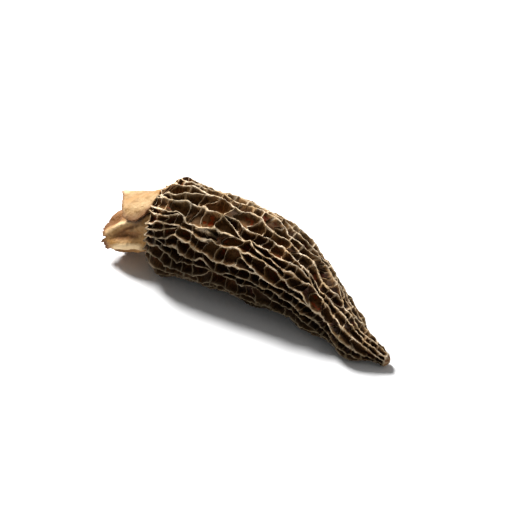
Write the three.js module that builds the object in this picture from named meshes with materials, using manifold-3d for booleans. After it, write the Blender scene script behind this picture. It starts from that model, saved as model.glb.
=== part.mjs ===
// A dried black morel, lying on its side as it was picked: a tapering, slightly bowed cap covered by a raised net
// of ridges and pits, and the pale hollow stem, split and rolled over itself, that it grew on.
// Millimetres. +X runs from the stem to the cap's tip, +Z is up, and the mushroom rests on z = 0.
import * as THREE from "three";
import { mergeVertices } from "three/addons/utils/BufferGeometryUtils.js";
import Module from "manifold-3d";

const wasm = await Module();
wasm.setup();

// ---- driving dimensions, mm and degrees ----

// The cap's centre line and girth, at stations evenly spaced from its base to its tip.
const CAP_LENGTH = 56;
const SPINE = [
  [-21.4, -2.0, 8.6],
  [-14.5, -0.5, 8.5],
  [-7.5, 0.4, 8.3],
  [-0.5, 1.0, 8.0],
  [6.4, 0.9, 7.2],
  [13.2, 0.3, 5.7],
  [19.8, -1.2, 4.2],
  [26.2, -3.3, 2.9],
  [32.3, -2.7, 1.4],
];
const CAP_RADIUS = [10.2, 9.7, 9.4, 9.1, 8.3, 6.7, 5.0, 3.4, 1.2];
const RIM_TUCK = 2.4; // how far the cap draws in towards the stem
const RIM_LENGTH = 0.06; // over this share of its length
const TIP_LENGTH = 1.0; // the blunt nub past the last ridges

// Waves over the cap: their height, how many go round it, their lean per mm along it, and their phase.
const LUMPS = [
  [0.02, 2, 0, -1.571],
  [0.02, 3, 0.14, 0.6],
  [0.014, 2, -0.21, 2.1],
  [0.012, 5, 0.33, 1.9],
]; // in the cap's girth, as shares of it: it is a little wider than tall, with broad lumps
const WANDER_OF_RIDGES = [
  [0.02, 3, 0.17, 0.4],
  [0.015, 5, -0.36, 2.2],
]; // round the cap, in radians
const WANDER_OF_CRESTS = [
  [0.022, 8, 0.8, 1.1],
  [0.015, 13, -1.15, 3.9],
]; // the same, where a quarter of it is left at the ridges' feet
const WANDER_ALONG = [
  [0.3, 6, 0.45, 2.4],
  [0.2, 9, -0.8, 5.2],
]; // mm along the cap
const CREST_WEAR = 0.25; // mm that the crests fall short of the outline, in the mean
const CREST_WAVES = [
  [0.14, 4, 0.5, 0.7],
  [0.11, 11, -1.3, 2.8],
]; // mm above and below that

// The net. Rows of pits run from the base to the tip between long ridges. Where a row closes, its two ridges join
// in a Y, and where one opens, a ridge parts in two.
// The rows over the upper front, in their order from the top round to the front: each one's start and end as
// shares of the cap's length, and its widths in degrees at evenly spaced stations between them.
const FRONT_ROWS = [
  [0, 0.745, [17, 14.5, 12, 11, 12.5, 13.5, 14, 15, 15.5, 14, 14, 17.5, 14.5, 13, 18.5, 22, 29.5, 30, 17.5, 0]],
  [0, 0.19, [13, 18, 18, 13.5, 6, 0]],
  [
    0,
    1,
    [
      3.5, 4, 7.5, 11.5, 24, 26, 27, 23.5, 20.5, 23.5, 16, 13.5, 14, 14.5, 17, 22, 11, 13, 22.5, 26, 17, 18, 21.5,
      30, 37, 40,
    ],
  ],
  [
    0.262,
    1,
    [0, 10, 13.5, 17, 17.5, 16.5, 15.5, 13.5, 6.5, 6, 9, 10, 11, 14.5, 26.5, 29, 25.5, 26.5, 32, 40],
  ],
  [0, 0.365, [18.5, 18, 17.5, 20, 16.5, 23.5, 26, 21.5, 14.5, 7.5, 0]],
  [0, 0.14, [7, 9.5, 6.5, 3, 0]],
  [0.405, 0.65, [0, 5, 7.5, 10, 11.5, 12, 8, 0]],
  [
    0,
    1,
    [
      21, 10.5, 11.5, 14, 13.5, 11, 12.5, 13.5, 17, 15, 14.5, 10, 7, 7.5, 11.5, 20, 28, 29, 31, 30, 30, 31, 35, 35,
      37, 40,
    ],
  ],
  [0, 0.145, [8, 8.5, 7, 4, 0]],
  [0.385, 0.695, [0, 11, 18, 19.5, 15.5, 13, 9, 4.5, 0]],
  [0, 0.47, [11, 9.5, 10, 12, 13.5, 14, 15, 18, 19, 18, 18, 9, 0]],
  [
    0.055,
    1,
    [
      0, 7.5, 12.5, 13.5, 13, 10.5, 9, 12.5, 13, 11.5, 13, 13.5, 13.5, 14, 14, 15.5, 19.5, 19.5, 21.5, 24, 26.5,
      27.5, 30.5, 35.5, 40,
    ],
  ],
  [0, 0.315, [10, 11, 9, 10.5, 11.5, 9, 7, 3.5, 0]],
  [0.325, 1, [0, 5.5, 7.5, 8, 8, 10, 13, 14, 15.5, 16.5, 17.5, 19, 20, 21.5, 23, 27.5, 33.5, 40]],
];
// The ridge above the first of them: its angles from the top round towards the front, at evenly spaced stations.
const TOP_RIDGE = [
  -22, -20, -19, -20, -22, -24, -24, -24, -22, -19, -16, -18, -16, -16, -23, -31, -31, -24, -19, -9, -11, -13, -12,
  -14, -17, -20,
];
// The rows round the back and the belly share the rest of the turn.
const BACK_ROWS = 17;
const ROW_STEP = 7; // the next back row to close is this many rows further round
const ROW_ENDS = [0.12, 0.2, 0.31, 0.43, 0.54, 0.62, 0.7, 0.76, 0.82, 0.87, 0.91, 0.945];
const ROW_WIDTH_SPREAD = 0.3;
const CLOSING = 0.09; // the share of the cap's length over which a back row narrows to its end
// Narrow rows that open inside a ridge and close again: [the back row they follow, start, end, width].
const SPLIT_ROWS = [
  [2, 0.1, 0.36, 0.62],
  [6, 0.27, 0.53, 0.6],
  [9, 0.5, 0.69, 0.62],
  [13, 0.3, 0.57, 0.6],
];
const PIT_LENGTH = [1.6, 0.07]; // a pit's mean length: a constant and a share of the cap's radius
const BACK_PIT_LENGTH = 1.2; // times that in the back rows
const PIT_LENGTH_SPREAD = 0.4;
const CROSS_RIDGE_SLANT = 0.2; // of a pit's length, up or down
const CROSS_RIDGE_BOW = 0.22; // of its own length, towards the base
const CROSS_RIDGE_DIP = [0.3, 0.6]; // how far it sags at its middle, as shares of the pit's depth
const PIT_DEPTH = [0.5, 0.23]; // a constant and a share of the cap's radius
const PIT_FLOOR = [0.78, 1]; // the least and the greatest share of that depth
const RIDGE_FOOT = 0.62; // from a ridge's crest to its foot
const RIDGE_BEND = 0.07; // how far a cross ridge pulls the long ridge that it runs into
const BASE_RIM_DIP = 0.5; // the rim between two ridges at the cap's base, as a share of the depth
const BASE_RIDGE_DIP = 0.12; // the ridges' ends on that rim
const SNAP = 0.5; // ridges that would meet closer together than this share one junction

const WALL = 1.0; // between the pits' floors and the hollow inside
const MOUTH_RADIUS = 4.4; // of the hollow, where the stem joins
const HOLLOW_END = 0.86; // share of the cap's length
const HOLLOW_SIDES = 20;
const HOLLOW_RINGS = 11;

// The stem: a thin sheet rolled up, whose top flap laps far over the roll below it.
const STEM_GAP = 0.3; // between the cap's base and the stem's end
const STEM_RISE = -0.6; // the stem leaves the cap's base this far above its middle
const STEM_COURSE = [
  [-3.1, -0.7, -0.6],
  [-6.3, -1.7, -2.6],
  [-9.6, -3.6, -4.7],
]; // from the joint: the two handles of its bend, and its cut end
const STEM_HALF_WIDTH = [5.4, 5.8, 5.8, 5.4, 4.5];
const STEM_TOP = [6.25, 4.5, 3.9, 3.3, 3.2]; // from its course up to the sheet
const STEM_BELLY = [5.2, 5.2, 5.0, 4.3, 3.4]; // and down to it
const STEM_WALL = 0.9;
const SHEET_START = -50; // degrees round the stem from its top towards -Y: the hidden edge under the flap
const SHEET_END = 392; // the flap's free edge where the stem joins the cap
// How far the sheet reaches, as shares of the stem's length, every SHEET_STEP degrees from SHEET_FROM.
const SHEET_FROM = -60;
const SHEET_STEP = 30;
const SHEET_REACH = [
  0.9, 0.91, 0.98, 1.01, 1.06, 1.05, 0.99, 0.95, 0.93, 0.93, 0.97, 0.97, 0.81, 0.65, 0.5, 0.43, 0.41,
];
const REACH_WAVES = [
  [0.02, 3, 0, 1],
  [0.012, 8, 0, 0],
]; // the torn edge's unevenness, in the same shares
const NOTCH = { angle: 50, width: 5, depth: 0.1 }; // a nick in that edge
const FLAP_FROM = 296; // the flap is the sheet past this angle
const FLAP_BELLY = 14; // its free edge bulges this many degrees further at its middle
const FLAP_LIFT = [1.35, 3.8]; // how far it stands outside the roll: at the cap, and more by the share squared
const FOLDS = [
  [0.2, 3, 5, 0.5],
  [0.1, 7, -6, 2],
]; // waves in the sheet: height in mm, how many go round, their lean over the stem's length, and their phase
// Hollows of the shrunken sheet: the angle and the share of the length at the middle, half of the width in degrees
// and of the length as a share, how many degrees it turns along the stem, and the depth. A negative depth swells.
const HOLLOWS = [
  [70, 0.52, 13, 0.28, -25, 1.3],
  [40, 0.45, 10, 0.3, -20, -0.6],
  [0, 0.85, 24, 0.2, 0, 0.8],
  [98, 0.6, 11, 0.3, -10, -0.5],
  [118, 0.7, 9, 0.3, 0, 0.6],
  [366, 0.22, 12, 0.12, 0, 0.35],
  [338, 0.3, 14, 0.15, 0, 0.3],
  [215, 0.5, 16, 0.3, 10, 0.9],
  [262, 0.6, 12, 0.3, 0, 0.7],
];
const RIM_CURL = 0.5; // how far the cut end's rim draws in
const SHEET_COLUMNS = 62;
const SHEET_RINGS = 12;

const FULL_TURN = 2 * Math.PI;
const DEGREE = Math.PI / 180;

// ---- small tools ----

const mix = (a, b, share) => a + (b - a) * share;
const clamp01 = (x) => Math.min(1, Math.max(0, x));
const smooth = (low, high, x) => {
  const s = clamp01((x - low) / (high - low));
  return s * s * (3 - 2 * s);
};

// A repeatable number from 0 to 1 for each pair of whole numbers.
function chance(a, b) {
  const s = Math.sin(a * 12.9898 + b * 78.233 + 4.137) * 43758.5453;
  return s - Math.floor(s);
}

const spread = (a, b) => 2 * chance(a, b) - 1;

// A smooth curve through evenly spaced values, at a share of the way along them.
function along(values, share) {
  const last = values.length - 1;
  const x = clamp01(share) * last;
  const i = Math.min(last - 1, Math.floor(x));
  const u = x - i;
  const a = values[i];
  const b = values[i + 1];
  const before = i > 0 ? values[i - 1] : 2 * a - b;
  const after = i + 2 <= last ? values[i + 2] : 2 * b - a;
  const bend = 2 * before - 5 * a + 4 * b - after;
  const twist = -before + 3 * a - 3 * b + after;
  return a + 0.5 * u * (b - before + u * (bend + u * twist));
}

// The same through points. Past either end the curve runs straight on.
function pathAlong(points, share) {
  const inside = clamp01(share);
  const at = (s) => new THREE.Vector3(...[0, 1, 2].map((k) => along(points.map((p) => p[k]), s)));
  if (inside === share) return at(share);
  const step = inside === 0 ? 0.01 : -0.01;
  const slope = at(inside + step).sub(at(inside)).divideScalar(step);
  return at(inside).addScaledVector(slope, share - inside);
}

// The direction of a path, with the upward and sideways directions square to it.
function axesOf(path, share) {
  const step = 0.004;
  const forward = path(share + step).sub(path(share - step)).normalize();
  const up = new THREE.Vector3(0, 0, 1).addScaledVector(forward, -forward.z).normalize();
  return { forward, up, side: new THREE.Vector3().crossVectors(forward, up) };
}

// A solid's faces, gathered one by one.
class Faces {
  constructor() {
    this.points = [];
    this.triangles = [];
  }

  point(p) {
    this.points.push(p);
    return this.points.length - 1;
  }

  // A closed ring of faces between two rings of as many points, the first one counterclockwise seen from outside.
  band(outer, inner) {
    outer.forEach((a, i) => {
      const next = (i + 1) % outer.length;
      this.triangles.push([a, outer[next], inner[next]], [a, inner[next], inner[i]]);
    });
  }

  fan(ring, centre) {
    ring.forEach((a, i) => this.triangles.push([a, ring[(i + 1) % ring.length], centre]));
  }

  solid() {
    const geometry = new THREE.BufferGeometry().setFromPoints(this.points);
    geometry.setIndex(this.triangles.flat());
    return solidFrom(geometry);
  }
}

function solidFrom(geometry) {
  const vertProperties = new Float32Array(geometry.attributes.position.array);
  const triVerts = new Uint32Array(geometry.index.array);
  return new wasm.Manifold(new wasm.Mesh({ numProp: 3, vertProperties, triVerts }));
}

// ---- the cap's surface, by an angle round it, a share of its length and a depth below its outline ----

const spine = (share) => pathAlong(SPINE, share);
const capRadius = (share) => along(CAP_RADIUS, share) - RIM_TUCK * (1 - smooth(0, RIM_LENGTH, share));
const pitDepth = (share) => PIT_DEPTH[0] + PIT_DEPTH[1] * capRadius(share);

const waves = (list, angle, share) =>
  list.reduce((sum, [height, round, lean, phase]) => {
    return sum + height * Math.sin(round * angle + lean * share * CAP_LENGTH + phase);
  }, 0);

const lumps = (angle, share) => 1 + waves(LUMPS, angle, share);

// The ridges wander over the cap, more at their crests than at their feet.
function wander(angle, share, depthShare) {
  const ends = smooth(0, 0.06, share) * smooth(0, 0.08, 1 - share);
  const ofCrests = (1 - 0.75 * depthShare) * waves(WANDER_OF_CRESTS, angle, share);
  const round = waves(WANDER_OF_RIDGES, angle, share) + ofCrests;
  const lengthways = waves(WANDER_ALONG, angle, share) / CAP_LENGTH;
  return { angle: angle + ends * round, share: share + ends * lengthways };
}

// How far the crests fall short of the cap's outline.
const crestWear = (angle, share) => (CREST_WEAR + waves(CREST_WAVES, angle, share)) * smooth(0, 0.3, 1 - share);

// Angles run from the top towards -Y.
function capPoint(angle, share, depth) {
  const at = wander(angle, share, clamp01(depth / pitDepth(share)));
  const { up, side } = axesOf(spine, at.share);
  const radius = capRadius(at.share) * lumps(at.angle, at.share) - depth;
  return spine(at.share)
    .addScaledVector(up, radius * Math.cos(at.angle))
    .addScaledVector(side, radius * Math.sin(at.angle));
}

// ---- the net of ridges ----

// The rows of pits in their order round the cap.
function makeRows() {
  const front = FRONT_ROWS.map(([start, end, widths], number) => ({ number, start, end, widths, width: 1 }));
  const count = front.length;
  const back = [];
  for (let k = 0; k < BACK_ROWS; k++) {
    back.push({ number: count + k, start: 0, end: 1, width: 1 + ROW_WIDTH_SPREAD * spread(k, 1) });
  }
  ROW_ENDS.forEach((end, i) => {
    back[(3 + i * ROW_STEP) % BACK_ROWS].end = end;
  });
  const split = SPLIT_ROWS.map(([after, start, end, width], i) => {
    return { number: count + BACK_ROWS + i, after: count + after, start, end, width };
  });
  return [...front, ...back.flatMap((row) => [row, ...split.filter((s) => s.after === row.number)])];
}

const isOpen = (row, share) => share >= row.start && share <= row.end;

// In degrees for a front row, and for a back row only beside the other back rows.
function openWidth(row, share) {
  if (!isOpen(row, share)) return 0;
  if (row.widths) return Math.max(0, along(row.widths, (share - row.start) / (row.end - row.start)));
  const closing = Math.min(CLOSING, 0.5 * (row.end - row.start));
  const toEnd = row.end < 1 ? clamp01(1 - (row.end - share) / closing) : 0;
  const toStart = row.start > 0 ? clamp01(1 - (share - row.start) / closing) : 0;
  return row.width * (1 - toEnd * toEnd) * (1 - toStart * toStart);
}

// The ridges on the right of each row, and the junctions along them.
class Ridges {
  constructor(rows) {
    this.rows = rows;
    this.lines = rows.map(() => []);
  }

  angleAt(index, share) {
    const sum = (rows) => rows.reduce((total, row) => total + openWidth(row, share), 0);
    const isFront = (row) => row.widths !== undefined;
    const back = this.rows.filter((row) => !isFront(row));
    const rest = 360 - sum(this.rows.filter(isFront));
    const passed = this.rows.slice(0, index + 1);
    const passedBack = passed.filter((row) => !isFront(row));
    const turned = sum(passed.filter(isFront)) + (rest * sum(passedBack)) / sum(back);
    return DEGREE * (along(TOP_RIDGE, share) + turned);
  }

  // The ridge on the left of a row is the right one of the nearest row on that side that is open there.
  leftOf(index, share) {
    const count = this.rows.length;
    let i = (index + count - 1) % count;
    while (!isOpen(this.rows[i], share)) i = (i + count - 1) % count;
    return i;
  }

  // Junctions nearer together than SNAP are one. A row's own ends stay exactly where they are.
  junction(index, share, isEnd = false) {
    const found = this.lines[index].find((j) => Math.abs(j.share - share) * CAP_LENGTH < (isEnd ? 1e-6 : SNAP));
    if (found) return found;
    const made = { share, angle: this.angleAt(index, share), isEnd, bend: 0 };
    this.place(index, made);
    return made;
  }

  place(index, junction) {
    const line = this.lines[index];
    if (!line.includes(junction)) line.push(junction);
    line.sort((a, b) => a.share - b.share);
  }

  // Where a row starts or ends: at the cap's base or tip, or in a Y.
  rowEnd(index, share) {
    const right = this.junction(index, share, true);
    const left = this.leftOf(index, share);
    if (share === 0 || share === 1) return [this.junction(left, share, true), right];
    this.place(left, right);
    return [right, right];
  }

  leftLine(index) {
    const found = new Set();
    this.lines.forEach((line, i) => {
      const borders = (j) => isOpen(this.rows[index], j.share) && this.leftOf(index, j.share) === i;
      line.filter(borders).forEach((j) => found.add(j));
    });
    return [...found].sort((a, b) => a.share - b.share);
  }
}

// The cross ridges of a row, from its start to its end, each with its junctions on the left and on the right.
function crossRidges(ridges, index, start, end) {
  const row = ridges.rows[index];
  const made = [{ left: start[0], right: start[1], number: 0 }];
  const closed = row.end < 1;
  let share = row.start;
  for (let n = 1; ; n++) {
    const room = row.widths ? 1 : BACK_PIT_LENGTH * Math.min(1.1, Math.sqrt(row.width));
    const mean = room * (PIT_LENGTH[0] + PIT_LENGTH[1] * capRadius(share));
    const pointed = n === 1 && row.start > 0 ? 1.6 : 1;
    share += (mean * pointed * (1 + PIT_LENGTH_SPREAD * spread(row.number, 10 + n))) / CAP_LENGTH;
    if ((row.end - share) * CAP_LENGTH < (closed ? 1.4 : 0.7) * mean) break;
    const slant = (CROSS_RIDGE_SLANT * mean * spread(row.number, 50 + n)) / CAP_LENGTH;
    const left = ridges.junction(ridges.leftOf(index, share - slant), share - slant);
    const right = ridges.junction(index, share + slant);
    left.bend += left.isEnd ? 0 : 1;
    right.bend -= right.isEnd ? 0 : 1;
    made.push({ left, right, number: n });
  }
  made.push({ left: end[0], right: end[1], number: made.length });
  return made;
}

// A cross ridge's middle, or nothing where it is only the point of a Y.
function middleOf(cross, row) {
  if (cross.left === cross.right) return [];
  const share = 0.5 * (cross.left.share + cross.right.share);
  const gap = nearAngle(cross.right.angle, cross.left.angle) - cross.left.angle;
  const angle = cross.left.angle + 0.5 * gap;
  if (share === 0) return [{ angle, share, dip: BASE_RIM_DIP }];
  if (share === 1) return [{ angle, share, dip: 0.3 }];
  const bow = CROSS_RIDGE_BOW * gap * capRadius(share) * (0.4 + 1.2 * chance(row.number, 90 + cross.number));
  const dip = mix(...CROSS_RIDGE_DIP, chance(row.number, 130 + cross.number));
  return [{ angle, share: share - bow / CAP_LENGTH, dip }];
}

// An angle, by whole turns as near as it comes to another.
const nearAngle = (angle, other) => angle - FULL_TURN * Math.round((angle - other) / FULL_TURN);

// Every pit of the net: the points along its ridges' crests, counterclockwise seen from outside.
function makePits() {
  const rows = makeRows();
  const ridges = new Ridges(rows);
  const ends = rows.map((row, i) => [ridges.rowEnd(i, row.start), ridges.rowEnd(i, row.end)]);
  const crossings = rows.map((row, i) => crossRidges(ridges, i, ...ends[i]));
  crossings.forEach((list, i) => {
    list.forEach((cross) => Object.assign(cross, { middle: middleOf(cross, rows[i]) }));
  });
  return rows.flatMap((row, i) => {
    const left = ridges.leftLine(i);
    return crossings[i].slice(1).map((far, n) => {
      const near = crossings[i][n];
      const rightSide = ridges.lines[i].filter((j) => j.share > near.right.share && j.share < far.right.share);
      const leftSide = left.filter((j) => j.share > near.left.share && j.share < far.left.share).reverse();
      const crest = [near.left, ...near.middle, near.right, ...rightSide, far.right, ...far.middle, far.left];
      return { crest: [...new Set([...crest, ...leftSide])], row, number: n };
    });
  });
}

// ---- the cap's solid ----

// Cross ridges pull the long ridges that they run into a little to their own side.
const nodeAngle = (node) => node.angle + ((node.bend ?? 0) * RIDGE_BEND) / Math.max(1.5, capRadius(node.share));

function crestDepth(node) {
  const depth = pitDepth(node.share);
  if (node.dip !== undefined) return node.dip * depth;
  if (node.share === 0) return BASE_RIDGE_DIP * depth;
  return crestWear(node.angle, node.share);
}

// A pit's outline flattened out: x round the cap and y along it.
function flatten(pit) {
  const first = nodeAngle(pit.crest[0]);
  return pit.crest.map((node) => {
    const angle = nearAngle(nodeAngle(node), first);
    return new THREE.Vector2(angle * capRadius(node.share), node.share * CAP_LENGTH);
  });
}

// The middle of an outline's edges.
function centreOf(outline) {
  const sum = new THREE.Vector2();
  let total = 0;
  outline.forEach((p, i) => {
    const next = outline[(i + 1) % outline.length];
    const length = p.distanceTo(next);
    sum.addScaledVector(p.clone().add(next), 0.5 * length);
    total += length;
  });
  return sum.divideScalar(total);
}

// Walls from the crests down to the ridges' feet, and a floor that sinks to its middle. Small pits are shallow.
function addPit(faces, pit, crestIndex) {
  const outline = flatten(pit);
  const centre = centreOf(outline);
  const reach = Math.min(...outline.map((p) => p.distanceTo(centre)));
  const fullness = mix(...PIT_FLOOR, chance(pit.row.number, 170 + pit.number)) * smooth(-0.4, 0.75, reach);
  const depth = fullness * pitDepth(centre.y / CAP_LENGTH);
  const floorPoint = (p, share) => {
    const at = p.y / CAP_LENGTH;
    return faces.point(capPoint(p.x / capRadius(at), at, share * depth));
  };
  const feet = outline.map((p) => {
    const inset = Math.min(0.45, RIDGE_FOOT / p.distanceTo(centre));
    return floorPoint(p.clone().lerp(centre, inset), 0.9);
  });
  faces.band(pit.crest.map(crestIndex), feet);
  faces.fan(feet, floorPoint(centre, 1));
}

function hollowRadius(share) {
  const body = capRadius(share) - pitDepth(share) - WALL;
  const dome = Math.sqrt(1 - Math.pow(share / HOLLOW_END, 8));
  return mix(MOUTH_RADIUS, body, smooth(0, 0.15, share)) * dome;
}

function hollowPoint(angle, share) {
  const { up, side } = axesOf(spine, share);
  return spine(share)
    .addScaledVector(up, hollowRadius(share) * Math.cos(angle))
    .addScaledVector(side, hollowRadius(share) * Math.sin(angle));
}

// The hollow, from its mouth to its domed end. The mouth comes back as pairs of an angle and a point.
function addHollow(faces) {
  const angles = [...Array(HOLLOW_SIDES).keys()].map((i) => (FULL_TURN * i) / HOLLOW_SIDES);
  const rings = [];
  for (let k = 0; k < HOLLOW_RINGS; k++) {
    const share = HOLLOW_END * Math.sin((0.5 * Math.PI * k) / HOLLOW_RINGS);
    rings.push(angles.map((angle) => faces.point(hollowPoint(angle, share))));
  }
  rings.slice(1).forEach((ring, k) => faces.band(ring, rings[k]));
  faces.fan(rings[rings.length - 1].toReversed(), faces.point(spine(HOLLOW_END)));
  return angles.map((angle, i) => [angle, rings[0][i]]);
}

// A flat ring of faces between two rings of pairs of an angle and a point, both by rising angle.
function addAnnulus(faces, outer, inner) {
  const angleOf = (ring, i) => ring[i % ring.length][0] + FULL_TURN * Math.floor(i / ring.length);
  const pointOf = (ring, i) => ring[i % ring.length][1];
  let i = 0;
  let j = 0;
  while (i < outer.length || j < inner.length) {
    const outerNext = j >= inner.length || (i < outer.length && angleOf(outer, i + 1) < angleOf(inner, j + 1));
    const third = outerNext ? pointOf(outer, i + 1) : pointOf(inner, j + 1);
    faces.triangles.push([pointOf(outer, i), pointOf(inner, j), third]);
    if (outerNext) i++;
    else j++;
  }
}

// The points of the net's edge at the cap's base or tip, as pairs of an angle and a point, by rising angle.
function edgeRing(pits, share, crestIndex) {
  const nodes = new Set(pits.flatMap((pit) => pit.crest.filter((node) => node.share === share)));
  const turn = (angle) => angle - FULL_TURN * Math.floor(angle / FULL_TURN);
  return [...nodes].map((node) => [turn(node.angle), crestIndex(node)]).sort((a, b) => a[0] - b[0]);
}

// What the cap's weight has pressed flat against the surface it lies on.
function pressedFlat(solid) {
  const below = new THREE.BoxGeometry(120, 60, 10).translate(0, 0, -5);
  ["normal", "uv"].forEach((name) => below.deleteAttribute(name));
  return solid.subtract(solidFrom(mergeVertices(below)));
}

function makeCap() {
  const faces = new Faces();
  const indices = new Map();
  const crestIndex = (node) => {
    if (!indices.has(node)) {
      indices.set(node, faces.point(capPoint(nodeAngle(node), node.share, crestDepth(node))));
    }
    return indices.get(node);
  };
  const pits = makePits();
  pits.forEach((pit) => addPit(faces, pit, crestIndex));
  addAnnulus(faces, edgeRing(pits, 0, crestIndex), addHollow(faces));
  const nub = spine(1 + TIP_LENGTH / CAP_LENGTH);
  faces.fan(edgeRing(pits, 1, crestIndex).map(([, index]) => index), faces.point(nub));
  return pressedFlat(faces.solid());
}

// ---- the stem's solid ----

function makeStemCurve() {
  const { forward, up } = axesOf(spine, 0);
  const joint = spine(0).addScaledVector(forward, -STEM_GAP).addScaledVector(up, STEM_RISE);
  const course = STEM_COURSE.map((offset) => joint.clone().add(new THREE.Vector3(...offset)));
  return new THREE.CubicBezierCurve3(joint, ...course);
}

const sheetWaves = (list, degrees, share) =>
  list.reduce((sum, [height, round, lean, phase]) => {
    return sum + height * Math.sin(round * degrees * DEGREE + lean * share + phase);
  }, 0);

// How far along the stem the sheet reaches at an angle.
function sheetReach(degrees) {
  const reach = along(SHEET_REACH, (degrees - SHEET_FROM) / (SHEET_STEP * (SHEET_REACH.length - 1)));
  const nick = NOTCH.depth * Math.exp(-(((degrees - NOTCH.angle) / NOTCH.width) ** 2));
  return reach + sheetWaves(REACH_WAVES, degrees, 0) - nick;
}

// How far the folds and hollows that drying has left stand out from the stem's even course.
function creases(degrees, share) {
  const hollows = HOLLOWS.reduce((sum, [angle, middle, width, length, turning, depth]) => {
    const across = (degrees - angle - turning * (share - middle)) / width;
    const lengthways = (share - middle) / length;
    return sum + depth * Math.exp(-across * across - lengthways * lengthways);
  }, 0);
  const creased = smooth(0, 0.25, share) * (sheetWaves(FOLDS, degrees, share) - hollows);
  return creased - RIM_CURL * smooth(0.85, 1.05, share);
}

// The stem's sections turn from the plane of the cap's base to lie square to the stem.
function stemAxes(curve, at) {
  const root = axesOf(spine, 0);
  const own = axesOf((s) => curve.getPoint(s), at);
  const turn = smooth(0, 0.35, at);
  const up = root.up.lerp(own.up, turn).normalize();
  const side = root.side.negate().lerp(own.side, turn);
  return { up, side: side.addScaledVector(up, -side.dot(up)).normalize() };
}

function sheetPoint(curve, across, share, inward) {
  const degrees = mix(SHEET_START, SHEET_END + FLAP_BELLY * Math.sin(Math.PI * share), across);
  const at = share * sheetReach(degrees);
  const { up, side } = stemAxes(curve, at);
  const lift = (FLAP_LIFT[0] + FLAP_LIFT[1] * at * at) * smooth(FLAP_FROM, 360 + SHEET_START + 8, degrees);
  const out = lift + creases(degrees, at) - inward;
  const angle = degrees * DEGREE;
  const halfHeight = along(Math.cos(angle) > 0 ? STEM_TOP : STEM_BELLY, at);
  return curve
    .getPoint(at)
    .addScaledVector(up, (halfHeight + out) * Math.cos(angle))
    .addScaledVector(side, -(along(STEM_HALF_WIDTH, at) + out) * Math.sin(angle));
}

// A sheet with an outer and an inner face, closed along its four edges.
function makeStem() {
  const curve = makeStemCurve();
  const faces = new Faces();
  const grid = [0, STEM_WALL].map((inward) =>
    [...Array(SHEET_COLUMNS).keys()].map((i) =>
      [...Array(SHEET_RINGS).keys()].map((k) =>
        faces.point(sheetPoint(curve, i / (SHEET_COLUMNS - 1), k / (SHEET_RINGS - 1), inward)),
      ),
    ),
  );
  const [outer, inner] = grid;
  const quad = (a, b, c, d) => faces.triangles.push([a, b, c], [a, c, d]);
  for (let i = 0; i + 1 < SHEET_COLUMNS; i++) {
    for (let k = 0; k + 1 < SHEET_RINGS; k++) {
      quad(outer[i][k], outer[i][k + 1], outer[i + 1][k + 1], outer[i + 1][k]);
      quad(inner[i][k], inner[i + 1][k], inner[i + 1][k + 1], inner[i][k + 1]);
    }
    quad(outer[i][0], outer[i + 1][0], inner[i + 1][0], inner[i][0]);
    quad(outer[i + 1].at(-1), outer[i].at(-1), inner[i].at(-1), inner[i + 1].at(-1));
  }
  [[0, 1], [SHEET_COLUMNS - 1, -1]].forEach(([i, way]) => {
    for (let k = 0; k + 1 < SHEET_RINGS; k++) {
      const edge = [outer[i][k], inner[i][k], inner[i][k + 1], outer[i][k + 1]];
      quad(...(way > 0 ? edge : edge.toReversed()));
    }
  });
  return pressedFlat(faces.solid());
}

// ---- the mushroom ----

function meshOf(solid, name, colour) {
  const { vertProperties, triVerts, numProp } = solid.getMesh();
  if (numProp !== 3) throw new Error("expected bare positions");
  const geometry = new THREE.BufferGeometry();
  geometry.setAttribute("position", new THREE.BufferAttribute(vertProperties, 3));
  geometry.setIndex(new THREE.BufferAttribute(triVerts, 1));
  geometry.computeVertexNormals();
  const mesh = new THREE.Mesh(geometry, new THREE.MeshStandardMaterial({ color: colour, roughness: 0.8 }));
  mesh.name = name;
  return mesh;
}

const morel = new THREE.Group();
morel.name = "morel";
morel.add(meshOf(makeCap(), "cap", "#5b452f"), meshOf(makeStem(), "stem", "#d2ab78"));

export default morel;
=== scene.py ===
# The looks of a dried black morel: its cap under a raised net of ridges, and its pale rolled stem.
# Lengths are in mm in the frame of the CAD part, and turn into metres when a mesh is made.
import math

import bpy
import numpy as np
from mathutils import Matrix, Vector, noise


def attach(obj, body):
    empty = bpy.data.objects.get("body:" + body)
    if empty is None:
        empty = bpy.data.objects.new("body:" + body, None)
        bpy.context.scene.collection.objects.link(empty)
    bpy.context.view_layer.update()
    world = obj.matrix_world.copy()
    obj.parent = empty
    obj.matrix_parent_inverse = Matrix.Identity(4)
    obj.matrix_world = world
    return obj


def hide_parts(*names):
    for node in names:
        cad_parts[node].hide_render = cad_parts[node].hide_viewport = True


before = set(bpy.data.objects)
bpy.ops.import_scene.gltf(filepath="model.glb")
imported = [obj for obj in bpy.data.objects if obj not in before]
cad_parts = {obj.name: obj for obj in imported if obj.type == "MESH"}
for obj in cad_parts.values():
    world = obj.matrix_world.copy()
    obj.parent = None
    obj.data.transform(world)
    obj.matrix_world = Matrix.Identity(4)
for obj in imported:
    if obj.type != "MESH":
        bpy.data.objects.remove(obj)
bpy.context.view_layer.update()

MM = 0.001
TURN = 2 * math.pi
SLOPE_STEP, NUDGE = 0.01, 0.004 # short ways along a path, as shares of it, that give its slope and direction

# ---- the cap's form ----

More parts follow.
